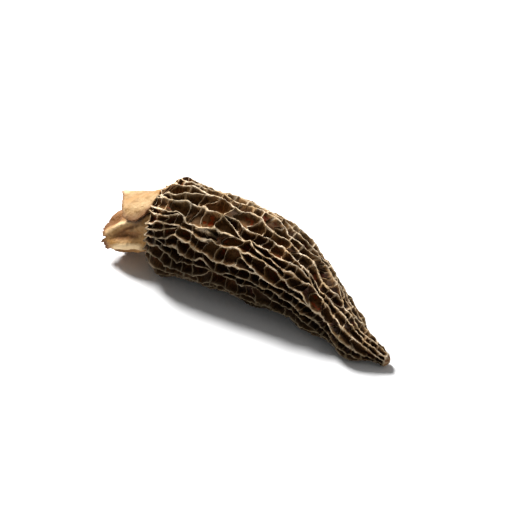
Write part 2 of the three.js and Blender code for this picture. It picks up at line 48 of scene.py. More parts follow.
# Its centre line and girth, at stations evenly spaced from its base to its tip.
CAP_LENGTH = 56.0
SPINE = [
    (-21.4, -2.0, 8.6),
    (-14.5, -0.5, 8.5),
    (-7.5, 0.4, 8.3),
    (-0.5, 1.0, 8.0),
    (6.4, 0.9, 7.2),
    (13.2, 0.3, 5.7),
    (19.8, -1.2, 4.2),
    (26.2, -3.3, 2.9),
    (32.3, -2.7, 1.4),
]
CAP_RADIUS = [10.2, 9.7, 9.4, 9.1, 8.3, 6.7, 5.0, 3.4, 1.2]
RIM_TUCK = 2.4 # how far the cap draws in towards the stem
RIM_LENGTH = 0.06 # over this share of its length
TIP_LENGTH = 1.0 # of the blunt nub past the last ridges
NUB = [(0.3, 0.95), (0.6, 0.82), (0.85, 0.52), (0.96, 0.25)] # shares of its length, and its width there
NUB_DENTS = (0.25, 3, 2) # how deep as a share, how many go round it, and how far they twist, in radians
NUB_STREAKS = (0.35, 5, 4) # how pale, how many, and how far they twist
NUB_FADE = 0.5 # of the streaks, at its end

# Waves over the cap: height, how many go round it, lean per mm along it, and phase.
# In the cap's girth, as shares of it: it is a little wider than tall, with broad lumps.
LUMPS = [(0.02, 2, 0, -1.571), (0.02, 3, 0.14, 0.6), (0.014, 2, -0.21, 2.1), (0.012, 5, 0.33, 1.9)]
# Of the ridges round the cap, in radians, and of their crests alone.
WANDER_OF_RIDGES = [(0.02, 3, 0.17, 0.4), (0.015, 5, -0.36, 2.2)]
WANDER_OF_CRESTS = [(0.022, 8, 0.8, 1.1), (0.015, 13, -1.15, 3.9), (0.007, 15, 2.3, 0.9)]
WANDER_LOST = 0.75 # of the crests' own wander, on the pits' floors
WANDER_ALONG = [(0.3, 6, 0.45, 2.4), (0.2, 9, -0.8, 5.2)] # in mm along the cap
STILL_ENDS = (0.06, 0.08) # shares of the length at the base and the tip over which the wander dies out
CREST_WEAR = 0.25 # how far the crests fall short of the outline, in the mean
CREST_WAVES = [(0.14, 4, 0.5, 0.7), (0.11, 11, -1.3, 2.8)] # in mm above and below that
UNWORN_TIP = 0.3 # the share of the length over which the wear dies out towards the tip

# The net. Rows of pits run from the base to the tip between long ridges. Where a row closes, its two ridges
# join in a Y, and where one opens, a ridge parts in two.
# The courses of the long ridges over the upper front: shares of the cap's length, and degrees from the top
# towards -Y. A is the uppermost.
COURSES = {
    "A": [
        (0, -22), (0.05, -20), (0.1, -19), (0.2, -24), (0.3, -24), (0.35, -20), (0.4, -16), (0.43, -18),
        (0.5, -15), (0.53, -16), (0.55, -22), (0.58, -26), (0.6, -31), (0.65, -31), (0.68, -24),
        (0.72, -19), (0.75, -9), (0.8, -11), (0.85, -13), (0.9, -12), (0.95, -16), (1, -20),
    ],
    "B": [
        (0, -5), (0.05, -6), (0.1, -8.5), (0.15, -9), (0.2, -10.5), (0.25, -10), (0.3, -7.6),
        (0.35, -6), (0.367, -5), (0.4, -2), (0.443, 0), (0.47, -2), (0.5, -2), (0.55, -3), (0.58, -5),
        (0.6, -8), (0.62, -4), (0.64, 3), (0.66, 3), (0.68, 2), (0.7, -2), (0.72, -6), (0.745, -9),
    ],
    "C": [(0, 8), (0.027, 12), (0.053, 13), (0.093, 9), (0.143, -1), (0.157, -4), (0.19, -9.5)],
    "D": [
        (0, 11.5), (0.033, 16), (0.067, 18), (0.1, 17.5), (0.127, 14.3), (0.147, 21), (0.173, 18),
        (0.213, 14.3), (0.253, 18), (0.293, 22), (0.32, 24.5), (0.34, 29), (0.365, 33.5),
    ],
    "E": [
        (0.262, 18.7), (0.293, 12.4), (0.333, 14.3), (0.363, 18.5), (0.397, 14.3), (0.433, 13.3),
        (0.5, 11.7), (0.55, 13), (0.6, 14), (0.65, 14), (0.7, 16), (0.75, 17), (0.77, 16), (0.8, 6),
        (0.85, 5), (0.88, 9), (0.9, 14), (0.95, 20), (1, 20),
    ],
    "F": [
        (0, 30), (0.007, 30), (0.043, 35), (0.093, 36), (0.15, 37), (0.187, 41), (0.217, 41),
        (0.277, 39), (0.3, 35), (0.327, 34), (0.353, 35), (0.4, 32), (0.45, 29.5), (0.48, 29),
        (0.5, 26.6), (0.53, 27), (0.55, 23), (0.57, 20), (0.62, 20), (0.65, 23), (0.68, 25), (0.72, 27),
        (0.75, 30), (0.8, 32), (0.85, 34.5), (0.87, 33), (0.9, 38), (0.95, 50), (1, 60),
    ],
    "G": [(0, 37), (0.02, 43), (0.05, 43.5), (0.093, 40), (0.14, 37)],
    "H": [
        (0.405, 31.8), (0.45, 36), (0.5, 37.5), (0.527, 36), (0.553, 35), (0.6, 30), (0.63, 26),
        (0.65, 23),
    ],
    "I": [
        (0, 58), (0.02, 56), (0.05, 52.4), (0.1, 52.8), (0.15, 51.4), (0.193, 51.4), (0.217, 53.3),
        (0.267, 52), (0.3, 52), (0.35, 50.4), (0.377, 48.5), (0.407, 45.7), (0.45, 44.7), (0.483, 43.8),
        (0.503, 43), (0.55, 45.5), (0.58, 47), (0.6, 50), (0.63, 51), (0.65, 54), (0.69, 54),
        (0.705, 53), (0.72, 58), (0.75, 60), (0.8, 62), (0.85, 66), (0.9, 72), (0.95, 86), (1, 100),
    ],
    "J": [(0, 66), (0.02, 64), (0.067, 60), (0.1, 57.5), (0.145, 51.5)],
    "K": [(0.385, 47.8), (0.41, 54), (0.443, 59), (0.47, 63.7)],
    "L": [
        (0, 77), (0.02, 75), (0.043, 71), (0.067, 69.5), (0.1, 68.6), (0.133, 65.7), (0.16, 64.7),
        (0.2, 65.6), (0.23, 67.6), (0.267, 69.5), (0.293, 72), (0.32, 70), (0.363, 67.6), (0.417, 67.6),
        (0.443, 64.7), (0.5, 62.8), (0.53, 61), (0.56, 59.5), (0.6, 60), (0.65, 59), (0.695, 54),
    ],
    "M": [(0.055, 70), (0.08, 75), (0.12, 78), (0.167, 78), (0.2, 79.5), (0.25, 79), (0.315, 82)],
    "N": [
        (0.325, 82), (0.4, 79.5), (0.433, 78), (0.5, 76.5), (0.55, 73), (0.6, 74), (0.7, 75), (0.8, 86),
        (0.9, 100), (0.95, 120), (1, 140),
    ],
    "O": [
        (0, 87), (0.02, 85), (0.053, 81), (0.073, 83), (0.1, 87.5), (0.147, 89.5), (0.2, 88.5),
        (0.25, 85), (0.315, 82), (0.325, 82), (0.36, 86), (0.4, 87), (0.467, 85), (0.54, 85), (0.6, 88),
        (0.7, 92), (0.8, 106), (0.9, 124), (0.95, 152), (1, 180),
    ],
}
# The rows of pits between them, from the top round to the front: each one's start and end, and the ridges on
# its left and its right, with the share from which each one bounds it.
FRONT_ROWS = [
    (0, 0.745, [(0, "A")], [(0, "B")]),
    (0, 0.19, [(0, "B")], [(0, "C")]),
    (0, 1, [(0, "C"), (0.19, "B"), (0.745, "A")], [(0, "D"), (0.262, "E")]),
    (0.262, 1, [(0, "E")], [(0, "D"), (0.365, "F")]),
    (0, 0.365, [(0, "D")], [(0, "F")]),
    (0, 0.14, [(0, "F")], [(0, "G")]),
    (0.405, 0.65, [(0, "F")], [(0, "H")]),
    (0, 1, [(0, "G"), (0.14, "F"), (0.405, "H"), (0.65, "F")], [(0, "I")]),
    (0, 0.145, [(0, "I")], [(0, "J")]),
    (0.385, 0.695, [(0, "I")], [(0, "K"), (0.47, "L")]),
    (0, 0.47, [(0, "J"), (0.145, "I"), (0.385, "K")], [(0, "L")]),
    (0.055, 1, [(0, "L"), (0.695, "I")], [(0, "M"), (0.315, "N")]),
    (0, 0.315, [(0, "L"), (0.055, "M")], [(0, "O")]),
    (0.325, 1, [(0, "N")], [(0, "O")]),
]
COURSE_STEP = 0.04 # at most, between the stations at which the courses are taken, as a share of the length
COURSE_GRAIN, WIDTH_GRAIN = 1, 0.5 # degrees to which the uppermost course and the rows' widths are rounded
LEAST_WIDTH = 2.5 # of an open row, in degrees
# The rows round the back and the belly share the rest of the turn.
BACK_ROWS = 17
FIRST_TO_CLOSE = 3
ROW_STEP = 7 # the next back row to close is this many rows further round
ROW_ENDS = [0.12, 0.2, 0.31, 0.43, 0.54, 0.62, 0.7, 0.76, 0.82, 0.87, 0.91, 0.945]
ROW_WIDTH_SPREAD = 0.3
CLOSING = 0.09 # the share of the cap's length over which a back row narrows to its end
# Narrow rows that open inside a ridge and close again: the back row that each follows, start, end and width.
SPLIT_ROWS = [(2, 0.1, 0.36, 0.62), (6, 0.27, 0.53, 0.6), (9, 0.5, 0.69, 0.62), (13, 0.3, 0.57, 0.6)]
PIT_LENGTH = (1.6, 0.07) # a pit's mean length: a constant, and a share of the cap's radius
BACK_PIT_LENGTH = 1.2 # times that in the back rows
WIDE_ROW_PITS = 1.1 # times that at most where a back row is wide
PIT_LENGTH_SPREAD = 0.4
OPENING_PIT = 1.6 # times the mean: the pointed first pit of a row that opens along the way
LAST_PIT = (1.4, 0.7) # times the mean at least: a row's last pit where it closes, and at the tip
CROSS_RIDGE_SLANT = 0.2 # of a pit's length, up or down
CROSS_RIDGE_BOW = (0.22, 0.34) # of its own length, towards the base: at the back, and in front
BOW_SPREAD = (0.4, 1.6) # times that
CROSS_RIDGE_DIP = (0.4, 0.7) # how far it sags at its middle, as shares of the pit's depth
TIP_DIP = 0.28 # more than that at the tip
SAG_POWER = 0.55 # under 1 for a sag that is steep near both ends
TIP_RIM_DIP = 0.3 # of the cross ridges that close the rows at the tip
PIT_DEPTH = (0.85, 0.195) # a constant, and a share of the cap's radius
PIT_FLOOR = (0.74, 1.02) # the least and the greatest share of that depth
SMALL_PITS = (-0.4, 0.75) # from a pit's middle to its rim, where pits grow from no depth to all of it
RIDGE_BEND = 0.07 # how far a cross ridge pulls the long ridge that it runs into
BEND_RADIUS = 1.5 # the cap's radius counts as this at least for that
BASE_RIM_DIP = 0.5 # the rim between two ridges at the cap's base, as a share of the depth
BASE_RIDGE_DIP = 0.12 # the ridges' ends on that rim
RIM_SCALLOP = 0.45 # how far that rim bows out past the ridges' ends
SNAP = 0.5 # ridges that would meet closer together than this share one junction
# Where each kind of draw begins among the chances of a row.
LENGTH_DRAWS, SLANT_DRAWS, BOW_DRAWS, DIP_DRAWS, FLOOR_DRAWS, TONE_DRAWS = 10, 50, 90, 130, 170, 210

WALL = 1.0 # between the pits' floors and the hollow inside
MOUTH_RADIUS = 4.4 # of the hollow, where the stem joins
MOUTH_LENGTH = 0.15 # the share of the cap's length over which it widens
HOLLOW_END = 0.86 # share of the cap's length
HOLLOW_BLUNTNESS = 8 # the greater, the later and the more abruptly it closes
HOLLOW_RINGS = 10
BASE_RINGS = (0.35, 0.7, 1.0) # shares of the way from the base's rim to the mouth

# A ridge's side, from its crest down into the pit: how far in from the crest's middle, how deep as a share
# of the pit, how pale, the greatest share of the way to the pit's middle, and how much its line is smoothed.
RIDGE_PROFILE = [
    (0.05, 0.01, 1.0, 0.07, 0),
    (0.1, 0.035, 0.7, 0.12, 0),
    (0.13, 0.09, 0.2, 0.15, 1),
    (0.17, 0.2, 0.06, 0.18, 1),
    (0.24, 0.36, 0.0, 0.24, 2),
    (0.36, 0.55, 0.0, 0.34, 3),
    (0.55, 0.74, 0.0, 0.48, 4),
    (0.85, 0.9, 0.0, 0.66, 5),
]
STEP_ALONG = 0.33 # between the points along a ridge
LONG_RIDGE_CURVE = 0.7 # from 0 for straight between its nodes to 1 for smooth through them
LONG_RIDGE_SAG = 0.1 # between two nodes
CROSS_THICKNESS = (0.75, 0.2) # a cross ridge's, as a share of a long ridge's, at the base and at the tip
JUNCTION_THICKNESS = 1.35
THICKNESS = [1.3, 1.1, 0.95, 1.1, 1.4] # of the ridges, as a share, from the base to the tip
THICKNESS_SPREAD = 0.8
THICKNESS_WAVES = (6, 60) # how fast it varies round the cap, and along it
CREST_WIDENING = 0.05 # at most this much more of the way to the pit's middle, where a ridge is thick
CREST_GAIN = 1.5 # how soon a ridge's crest is fully pale as it thickens
THINNING = 1.6 # how soon a cross ridge thins away from its ends
LEAST_SQUARE = 0.4 # the least share of the way to the pit's middle that counts as square to its rim
NARROW = (0.5, 1.3) # from a pit's middle to its rim, where pits stop being all dark inside with painted shade
DARK_TIP = (0.1, 0.65) # the shares of the cap's length over which the painted shade in the pits grows towards the tip
NARROW_PIT_SHADE, WIDE_PIT_SHADE = 0.65, 0.7 # how much painted shade darkens narrow pits at the base, and wide ones at the tip
HEAVES = (0.24, 0.8) # the crests' broad rise and fall: how many a mm, and how high
HEAVES_START = (55.5, 26.7, 29.9) # where in the noise they begin, chosen for the cap's upper edge
CRIMPS = [(0.95, 0.1, 0.15), (2.4, 0.05, 0.15)] # how many a mm, and how high on floors and on crests
PUSH_STARTS = [(7, 3), (47, 20), (87, 37)] # where in the noise the crimps along X, Y and Z begin

# Scars that have grown over the net: angle in degrees, share of the length, and half of each one's length
# and width.
SCARS = [(44, 0.232, 1.9, 0.42), (53, 0.236, 0.9, 0.3), (-95, 0.4, 1.8, 0.5), (-140, 0.2, 1.3, 0.4)]
SCAR_FILL = 0.8 # of the pits' depth
SCAR_EDGE = (0.7, 1.5) # where a scar begins to fade, and where it ends, in its half lengths and widths
SCAR_PALENESS = 0.7
# Painted shade of the cap's underside at angles round it, from 0 on its lit upper front to 1 on its belly.
UNDERSIDE_SHADE = [(0, 0), (28, 0), (60, 0.5), (88, 1), (200, 1), (250, 0.5), (330, 0.1), (360, 0)]
# How pale the smooth parts are, and how deep as a share of a pit's depth.
BASE_FINISH, HOLLOW_FINISH, CENTRE_FINISH = (0.2, 0.4), (0.1, 0.9), (0.2, 0.9)
NUB_DEPTH = 0.9
PLAIN_TONE, PLAIN_PIT_SHADE = 0.5, 0.0 # of what lies in no pit
END_UNDERSIDE_SHADE = 0.2 # of the base and the nub: how much of the underside's painted shade they get


# ---- curves ----

def along(values, share):
    """A smooth curve through evenly spaced values, at shares of the way along them."""
    values = np.asarray(values, float)
    last = len(values) - 1
    x = np.clip(np.asarray(share, float), 0, 1) * last
    i = np.minimum(last - 1, np.floor(x).astype(int))
    u = x - i
    if values.ndim > 1:
        u = u[..., None]
    padded = np.concatenate([[2 * values[0] - values[1]], values, [2 * values[-1] - values[-2]]])
    before, a, b, after = padded[i], padded[i + 1], padded[i + 2], padded[i + 3]
    bend = 2 * before - 5 * a + 4 * b - after
    twist = -before + 3 * a - 3 * b + after
    return a + 0.5 * u * (b - before + u * (bend + u * twist))


def path_along(points, share):
    """The same through points. Past either end the curve runs straight on."""
    share = np.asarray(share, float)
    inside = np.clip(share, 0, 1)
    step = np.where(inside < 0.5, SLOPE_STEP, -SLOPE_STEP)
    at = along(points, inside)
    slope = (along(points, inside + step) - at) / step[..., None]
    return at + slope * (share - inside)[..., None]


def unit(v):
    return v / np.linalg.norm(v, axis=-1, keepdims=True)


def axes_of(path, share):
    """The direction of a path, with the upward and sideways directions square to it."""
    share = np.asarray(share, float)
    forward = unit(path(share + NUDGE) - path(share - NUDGE))
    up = unit(np.array([0.0, 0.0, 1.0]) - forward * forward[..., 2:3])
    return forward, up, np.cross(forward, up)


def smooth(low, high, x):
    s = np.clip((np.asarray(x, float) - low) / (high - low), 0, 1)
    return s * s * (3 - 2 * s)


def mix(a, b, share):
    return a + (b - a) * share


def chance(a, b):
    """A repeatable number from 0 to 1 for each pair of whole numbers."""
    s = math.sin(a * 12.9898 + b * 78.233 + 4.137) * 43758.5453
    return s - math.floor(s)


def spread(a, b):
    return 2 * chance(a, b) - 1


# ---- the cap's surface, by an angle round it, a share of its length and a depth below its outline ----

def spine(share):
    return path_along(SPINE, share)


def cap_radius(share):
    return along(CAP_RADIUS, share) - RIM_TUCK * (1 - smooth(0, RIM_LENGTH, share))


def pit_depth(share):
    return PIT_DEPTH[0] + PIT_DEPTH[1] * cap_radius(share)


def waves(table, angle, share):
    return sum(h * np.sin(n * angle + lean * share * CAP_LENGTH + phase) for h, n, lean, phase in table)


def lumps(angle, share):
    return 1 + waves(LUMPS, angle, share)


def wander(angle, share, depth_share):
    """The ridges wander over the cap, more at their crests than at their feet."""
    ends = smooth(0, STILL_ENDS[0], share) * smooth(0, STILL_ENDS[1], 1 - share)
    of_crests = (1 - WANDER_LOST * depth_share) * waves(WANDER_OF_CRESTS, angle, share)
    turned = waves(WANDER_OF_RIDGES, angle, share) + of_crests
    return angle + ends * turned, share + ends * waves(WANDER_ALONG, angle, share) / CAP_LENGTH


def crest_wear(angle, share):
    """How far the crests fall short of the cap's outline."""
    return (CREST_WEAR + waves(CREST_WAVES, angle, share)) * smooth(0, UNWORN_TIP, 1 - share)


def cap_points(angle, share, depth):
    """Points in space. The angles run from the top towards -Y."""
    angle, share, depth = (np.asarray(x, float) for x in (angle, share, depth))
    angle, share_at = wander(angle, share, np.clip(depth / pit_depth(share), 0, 1))
    _, up, side = axes_of(spine, share_at)
    radius = cap_radius(share_at) * lumps(angle, share_at) - depth
    high, wide = radius * np.cos(angle), radius * np.sin(angle)
    return spine(share_at) + up * high[..., None] + side * wide[..., None]


# ---- the net of ridges ----

class Row:
    """A row of pits."""

    def __init__(self, number, start, end, width=1.0, widths=None):
        self.number, self.start, self.end, self.width, self.widths = number, start, end, width, widths

    def is_open(self, share):
        return self.start <= share <= self.end

    def open_width(self, share):
        """In degrees for a front row, and for a back row only beside the other back rows."""
        if not self.is_open(share):
            return 0.0
        if self.widths:
            return max(0.0, float(along(self.widths, (share - self.start) / (self.end - self.start))))
        closing = min(CLOSING, 0.5 * (self.end - self.start))
        to_end = min(1, max(0, 1 - (self.end - share) / closing)) if self.end < 1 else 0
        to_start = min(1, max(0, 1 - (share - self.start) / closing)) if self.start > 0 else 0
        return self.width * (1 - to_end**2) * (1 - to_start**2)


class Node:
    """Where ridges meet."""

    def __init__(self, share, angle, is_end):
        self.share, self.own_angle, self.is_end = share, angle, is_end
        self.bend = 0

    @property
    def angle(self):
        return self.own_angle + self.bend * RIDGE_BEND / max(BEND_RADIUS, float(cap_radius(self.share)))

    @property
    def depth(self):
        if self.share == 0:
            return BASE_RIDGE_DIP * float(pit_depth(0))
        return float(crest_wear(self.own_angle, self.share))


def course_at(letter, share):
    """The angle of a long ridge, straight between the points of its course."""
    return float(np.interp(share, *zip(*COURSES[letter])))


def bound_at(side, share):
    """Where the ridge runs that bounds a row on one side."""
    letter = [name for start, name in side if start <= share][-1]
    return course_at(letter, share)


def row_widths(start, end, left, right):
    """A front row's widths at even stations. It is closed where it starts or ends along the way."""
    count = max(2, math.ceil((end - start) / COURSE_STEP))
    widths = []
    for i in range(count + 1):
        share = start + (end - start) * i / count
        width = WIDTH_GRAIN * round((bound_at(right, share) - bound_at(left, share)) / WIDTH_GRAIN)
        if i in (0, count):
            is_closed = start > 0 if i == 0 else end < 1
            widths.append(0 if is_closed else width)
        else:
            widths.append(max(LEAST_WIDTH, width))
    return widths


def top_course():
    """The angles of the uppermost ridge at even stations."""
    count = round(1 / COURSE_STEP)
    return [COURSE_GRAIN * round(course_at("A", i / count) / COURSE_GRAIN) for i in range(count + 1)]


def make_rows():
    """The rows of pits in their order round the cap."""
    front = []
    for start, end, left, right in FRONT_ROWS:
        front.append(Row(len(front), start, end, widths=row_widths(start, end, left, right)))
    first = len(front)
    back = [Row(first + k, 0, 1, 1 + ROW_WIDTH_SPREAD * spread(k, 1)) for k in range(BACK_ROWS)]
    for i, end in enumerate(ROW_ENDS):
        back[(FIRST_TO_CLOSE + i * ROW_STEP) % BACK_ROWS].end = end
    rows = front
    for k, row in enumerate(back):
        split = [(i, *rest) for i, (after, *rest) in enumerate(SPLIT_ROWS) if after == k]
        rows = [*rows, row, *(Row(first + BACK_ROWS + i, *rest) for i, *rest in split)]
    return rows


class Ridges:
    """The ridges on the right of each row, and the nodes along them."""

    def __init__(self, rows):
        self.rows = rows
        self.top = top_course()
        self.lines = [[] for _ in rows]

    def angle_at(self, index, share):
        """The angle of the ridge on the right of a row."""
        widths = np.array([row.open_width(share) for row in self.rows])
        front = np.array([row.widths is not None for row in self.rows])
        widths[~front] *= (360 - widths[front].sum()) / widths[~front].sum()
        return math.radians(float(along(self.top, share)) + widths[: index + 1].sum())

    def left_of(self, index, share):
        """The row whose ridge lies on the left of this one."""
        i = (index - 1) % len(self.rows)
        while not self.rows[i].is_open(share):
            i = (i - 1) % len(self.rows)
        return i

    def node(self, index, share, is_end=False):
        """A node on a row's ridge, or the one that is already close by."""
        reach = 1e-6 if is_end else SNAP
        for found in self.lines[index]:
            if abs(found.share - share) * CAP_LENGTH < reach:
                return found
        made = Node(share, self.angle_at(index, share), is_end)
        self.place(index, made)
        return made

    def place(self, index, node):
        if node not in self.lines[index]:
            self.lines[index].append(node)
        self.lines[index].sort(key=lambda n: n.share)

    def row_end(self, index, share):
        """The nodes on the left and the right where a row starts or ends: one and the same along the way."""
        right = self.node(index, share, True)
        left = self.left_of(index, share)
        if share in (0, 1):
            return self.node(left, share, True), right
        self.place(left, right)
        return right, right

    def left_line(self, index):
        """The nodes on the left of a row, whichever ridges they are on."""
        row = self.rows[index]
        found = []
        for i, line in enumerate(self.lines):
            for node in line:
                if node not in found and row.is_open(node.share) and self.left_of(index, node.share) == i:
                    found.append(node)
        return sorted(found, key=lambda n: n.share)


class CrossRidge:
    """Between a node on the left of a row and one on its right."""

    def __init__(self, left, right, row, number):
        self.left, self.right, self.row, self.number = left, right, row, number


def cross_ridges(ridges, index, start, end):
    """A row's cross ridges from its start to its end, each a pit's length past the last."""
    row = ridges.rows[index]
    made = [CrossRidge(*start, row, 0)]
    share, n = row.start, 1
    while True:
        mean = PIT_LENGTH[0] + PIT_LENGTH[1] * float(cap_radius(share))
        mean *= 1 if row.widths else BACK_PIT_LENGTH * min(WIDE_ROW_PITS, math.sqrt(row.width))
        pointed = OPENING_PIT if n == 1 and row.start > 0 else 1
        share += mean * pointed * (1 + PIT_LENGTH_SPREAD * spread(row.number, LENGTH_DRAWS + n)) / CAP_LENGTH
        if (row.end - share) * CAP_LENGTH < LAST_PIT[row.end == 1] * mean:
            break
        slant = CROSS_RIDGE_SLANT * mean * spread(row.number, SLANT_DRAWS + n) / CAP_LENGTH
        left = ridges.node(ridges.left_of(index, share - slant), share - slant)
        right = ridges.node(index, share + slant)
        left.bend += 0 if left.is_end else 1
        right.bend -= 0 if right.is_end else 1
        made.append(CrossRidge(left, right, row, n))
        n += 1
    made.append(CrossRidge(*end, row, len(made)))
    return made


def near_angle(angle, other):
    return angle - TURN * np.round((angle - other) / TURN)


class CrestPoints:
    """The points along all the crests: angle, share, depth below the outline and thickness of the ridge."""

    def __init__(self):
        self.data = []
        self.of_node = {}
        self.of_span = {}
        self.edges = {0: [], 1: []}

    def add(self, angle, share, depth, thickness):
        self.data.append((angle, share, depth, thickness))
        return len(self.data) - 1

    def node(self, node):
        if node not in self.of_node:
            self.of_node[node] = self.add(node.angle, node.share, node.depth, JUNCTION_THICKNESS)
            if node.share in self.edges:
                self.edges[node.share].append(self.of_node[node])
        return self.of_node[node]

    def long_span(self, line, i):
        """Between two neighbouring nodes of a long ridge, smooth through the nodes on either side."""
        a, b = line[i], line[i + 1]
        before = line[i - 1] if i > 0 else a
        after = line[i + 2] if i + 2 < len(line) else b

        def angle_of(node):
            return near_angle(node.angle, a.angle)

        b_angle, run = angle_of(b), b.share - a.share
        chord = (b_angle - a.angle) / run
        slope_a = (b_angle - angle_of(before)) / (b.share - before.share)
        slope_b = (angle_of(after) - a.angle) / (after.share - a.share)
        count = max(1, round(run * CAP_LENGTH / STEP_ALONG))
        points = []
        for k in range(1, count):
            s = k / count
            cubic = s * (1 - s) * ((slope_a - chord) * (1 - s) - (slope_b - chord) * s) * run
            angle = mix(a.angle, b_angle, s) + LONG_RIDGE_CURVE * cubic
            depth = mix(a.depth, b.depth, s) + LONG_RIDGE_SAG * math.sin(math.pi * s)
            thick = 1 + (JUNCTION_THICKNESS - 1) * (2 * s - 1) ** 4
            points.append(self.add(angle, mix(a.share, b.share, s), depth, thick))
        self.of_span[(a, b)] = points

    def cross_span(self, cross):
        """Along a cross ridge, which bows and sags between the two long ridges that it joins."""
        a, b, row = cross.left, cross.right, cross.row
        if a is b:
            return
        gap = near_angle(b.angle, a.angle) - a.angle
        share = 0.5 * (a.share + b.share)
        radius = float(cap_radius(share))
        bow = CROSS_RIDGE_BOW[bool(row.widths)]
        bow *= mix(*BOW_SPREAD, chance(row.number, BOW_DRAWS + cross.number))
        bow *= gap * radius / CAP_LENGTH
        dip = mix(*CROSS_RIDGE_DIP, chance(row.number, DIP_DRAWS + cross.number)) + TIP_DIP * share
        at_edge = share in self.edges
        if at_edge:
            bow, dip = (-RIM_SCALLOP / CAP_LENGTH, BASE_RIM_DIP) if share == 0 else (0, TIP_RIM_DIP)
        count = max(2, round(math.hypot(gap * radius, (b.share - a.share) * CAP_LENGTH) / STEP_ALONG))
        points = []
        for k in range(1, count):
            s = k / count
            middle = 4 * s * (1 - s)
            depth = mix(mix(a.depth, b.depth, s), dip * float(pit_depth(share)), middle**SAG_POWER)
            along_share = mix(a.share, b.share, s) - bow * middle
            thinned = mix(*CROSS_THICKNESS, share)
            thick = 1.0 if at_edge else mix(1.0, thinned, min(1.0, THINNING * middle))
            points.append(self.add(a.angle + gap * s, along_share, depth, thick))
        self.of_span[(a, b)] = points
        if at_edge:
            self.edges[share] += points

    def between(self, a, b):
        """The points between two neighbouring nodes, from a to b."""
        if (a, b) in self.of_span:
            return self.of_span[(a, b)]
        return self.of_span[(b, a)][::-1]


class Pit:
    """A pit of a row, and the loop of crest points round it."""

    def __init__(self, loop, row, number):
        self.loop, self.row, self.number = loop, row, number


def make_pits():
    """The crests' points, and every pit with the loop of them round it."""
    rows = make_rows()
    ridges = Ridges(rows)
    ends = [(ridges.row_end(i, row.start), ridges.row_end(i, row.end)) for i, row in enumerate(rows)]
    crossings = [cross_ridges(ridges, i, *ends[i]) for i in range(len(rows))]
    crests = CrestPoints()
    for line in ridges.lines:
        for i in range(len(line) - 1):
            crests.long_span(line, i)
    for crossing in crossings:
        for cross in crossing:
            crests.cross_span(cross)
    pits = []
    for i, row in enumerate(rows):
        left_line = ridges.left_line(i)
        for n in range(len(crossings[i]) - 1):
            near, far = crossings[i][n], crossings[i][n + 1]
            right = [j for j in ridges.lines[i] if near.right.share < j.share < far.right.share]
            left = [j for j in left_line if near.left.share < j.share < far.left.share][::-1]
            corners = [near.left, near.right, *right, far.right, far.left, *left]
            corners = [c for k, c in enumerate(corners) if c is not corners[k - 1]]
            loop = []
            for k, corner in enumerate(corners):
                following = corners[(k + 1) % len(corners)]
                loop += [crests.node(corner), *crests.between(corner, following)]
            pits.append(Pit(loop, row, n))
    return crests, pits


# ---- the cap's fine surface ----

class Surface:
    """Points by angle, share and depth, and what the finish needs to know of them."""

    def __init__(self):
        self.place = []
        self.crest, self.depth_share, self.tone, self.pit_shade = [], [], [], []

    def add(self, angle, share, depth, crest, depth_share, tone, pit_shade):
        first = sum(len(p) for p in self.place)
        count = len(angle)
        self.place.append(np.column_stack([angle, share, np.broadcast_to(depth, count)]))
        for store, value in zip(self.stores(), (crest, depth_share, tone, pit_shade)):
            store.append(np.broadcast_to(np.asarray(value, float), count))
        return np.arange(first, first + count)

    def stores(self):
        return self.crest, self.depth_share, self.tone, self.pit_shade


def band(outer, inner):
    """Faces between two closed rings of as many points."""
    return np.column_stack([outer, np.roll(outer, -1), np.roll(inner, -1), inner])


def fan(ring, centre):
    """Triangles from a closed ring to one point, with -1 in place of a fourth corner."""
    return np.column_stack([ring, np.roll(ring, -1), np.full(len(ring), centre), np.full(len(ring), -1)])


def smoothed(ring, times):
    """A closed ring of points with its corners eased."""
    for _ in range(times):
        ring = 0.5 * ring + 0.25 * (np.roll(ring, 1, 0) + np.roll(ring, -1, 0))
    return ring


def pit_shade_at(reach, share):
    """How much painted shade darkens a pit inside, from its middle's distance to its rim and its place along
    the cap.
    """
    toward_tip = float(smooth(*DARK_TIP, share))
    wide = float(smooth(*NARROW, reach))
    return (1 - wide * (1 - WIDE_PIT_SHADE * toward_tip)) * mix(NARROW_PIT_SHADE, 1, toward_tip)


def way_to_middle(outline):
    """A pit's middle, the way there from each outline point, and that way's part square to the rim."""
    edge = np.roll(outline, -1, 0) - outline
    length = np.linalg.norm(edge, axis=1)
    centre = ((outline + np.roll(outline, -1, 0)) * 0.5 * length[:, None]).sum(0) / length.sum()
    to_centre = centre - outline
    distance = np.linalg.norm(to_centre, axis=1)
    tangent = unit(np.roll(outline, -1, 0) - np.roll(outline, 1, 0) + 1e-9)
    inward = np.column_stack([-tangent[:, 1], tangent[:, 0]])
    inward *= np.sign((inward * to_centre).sum())
    square = np.maximum((inward * to_centre).sum(1), LEAST_SQUARE * distance)
    return centre, to_centre, square


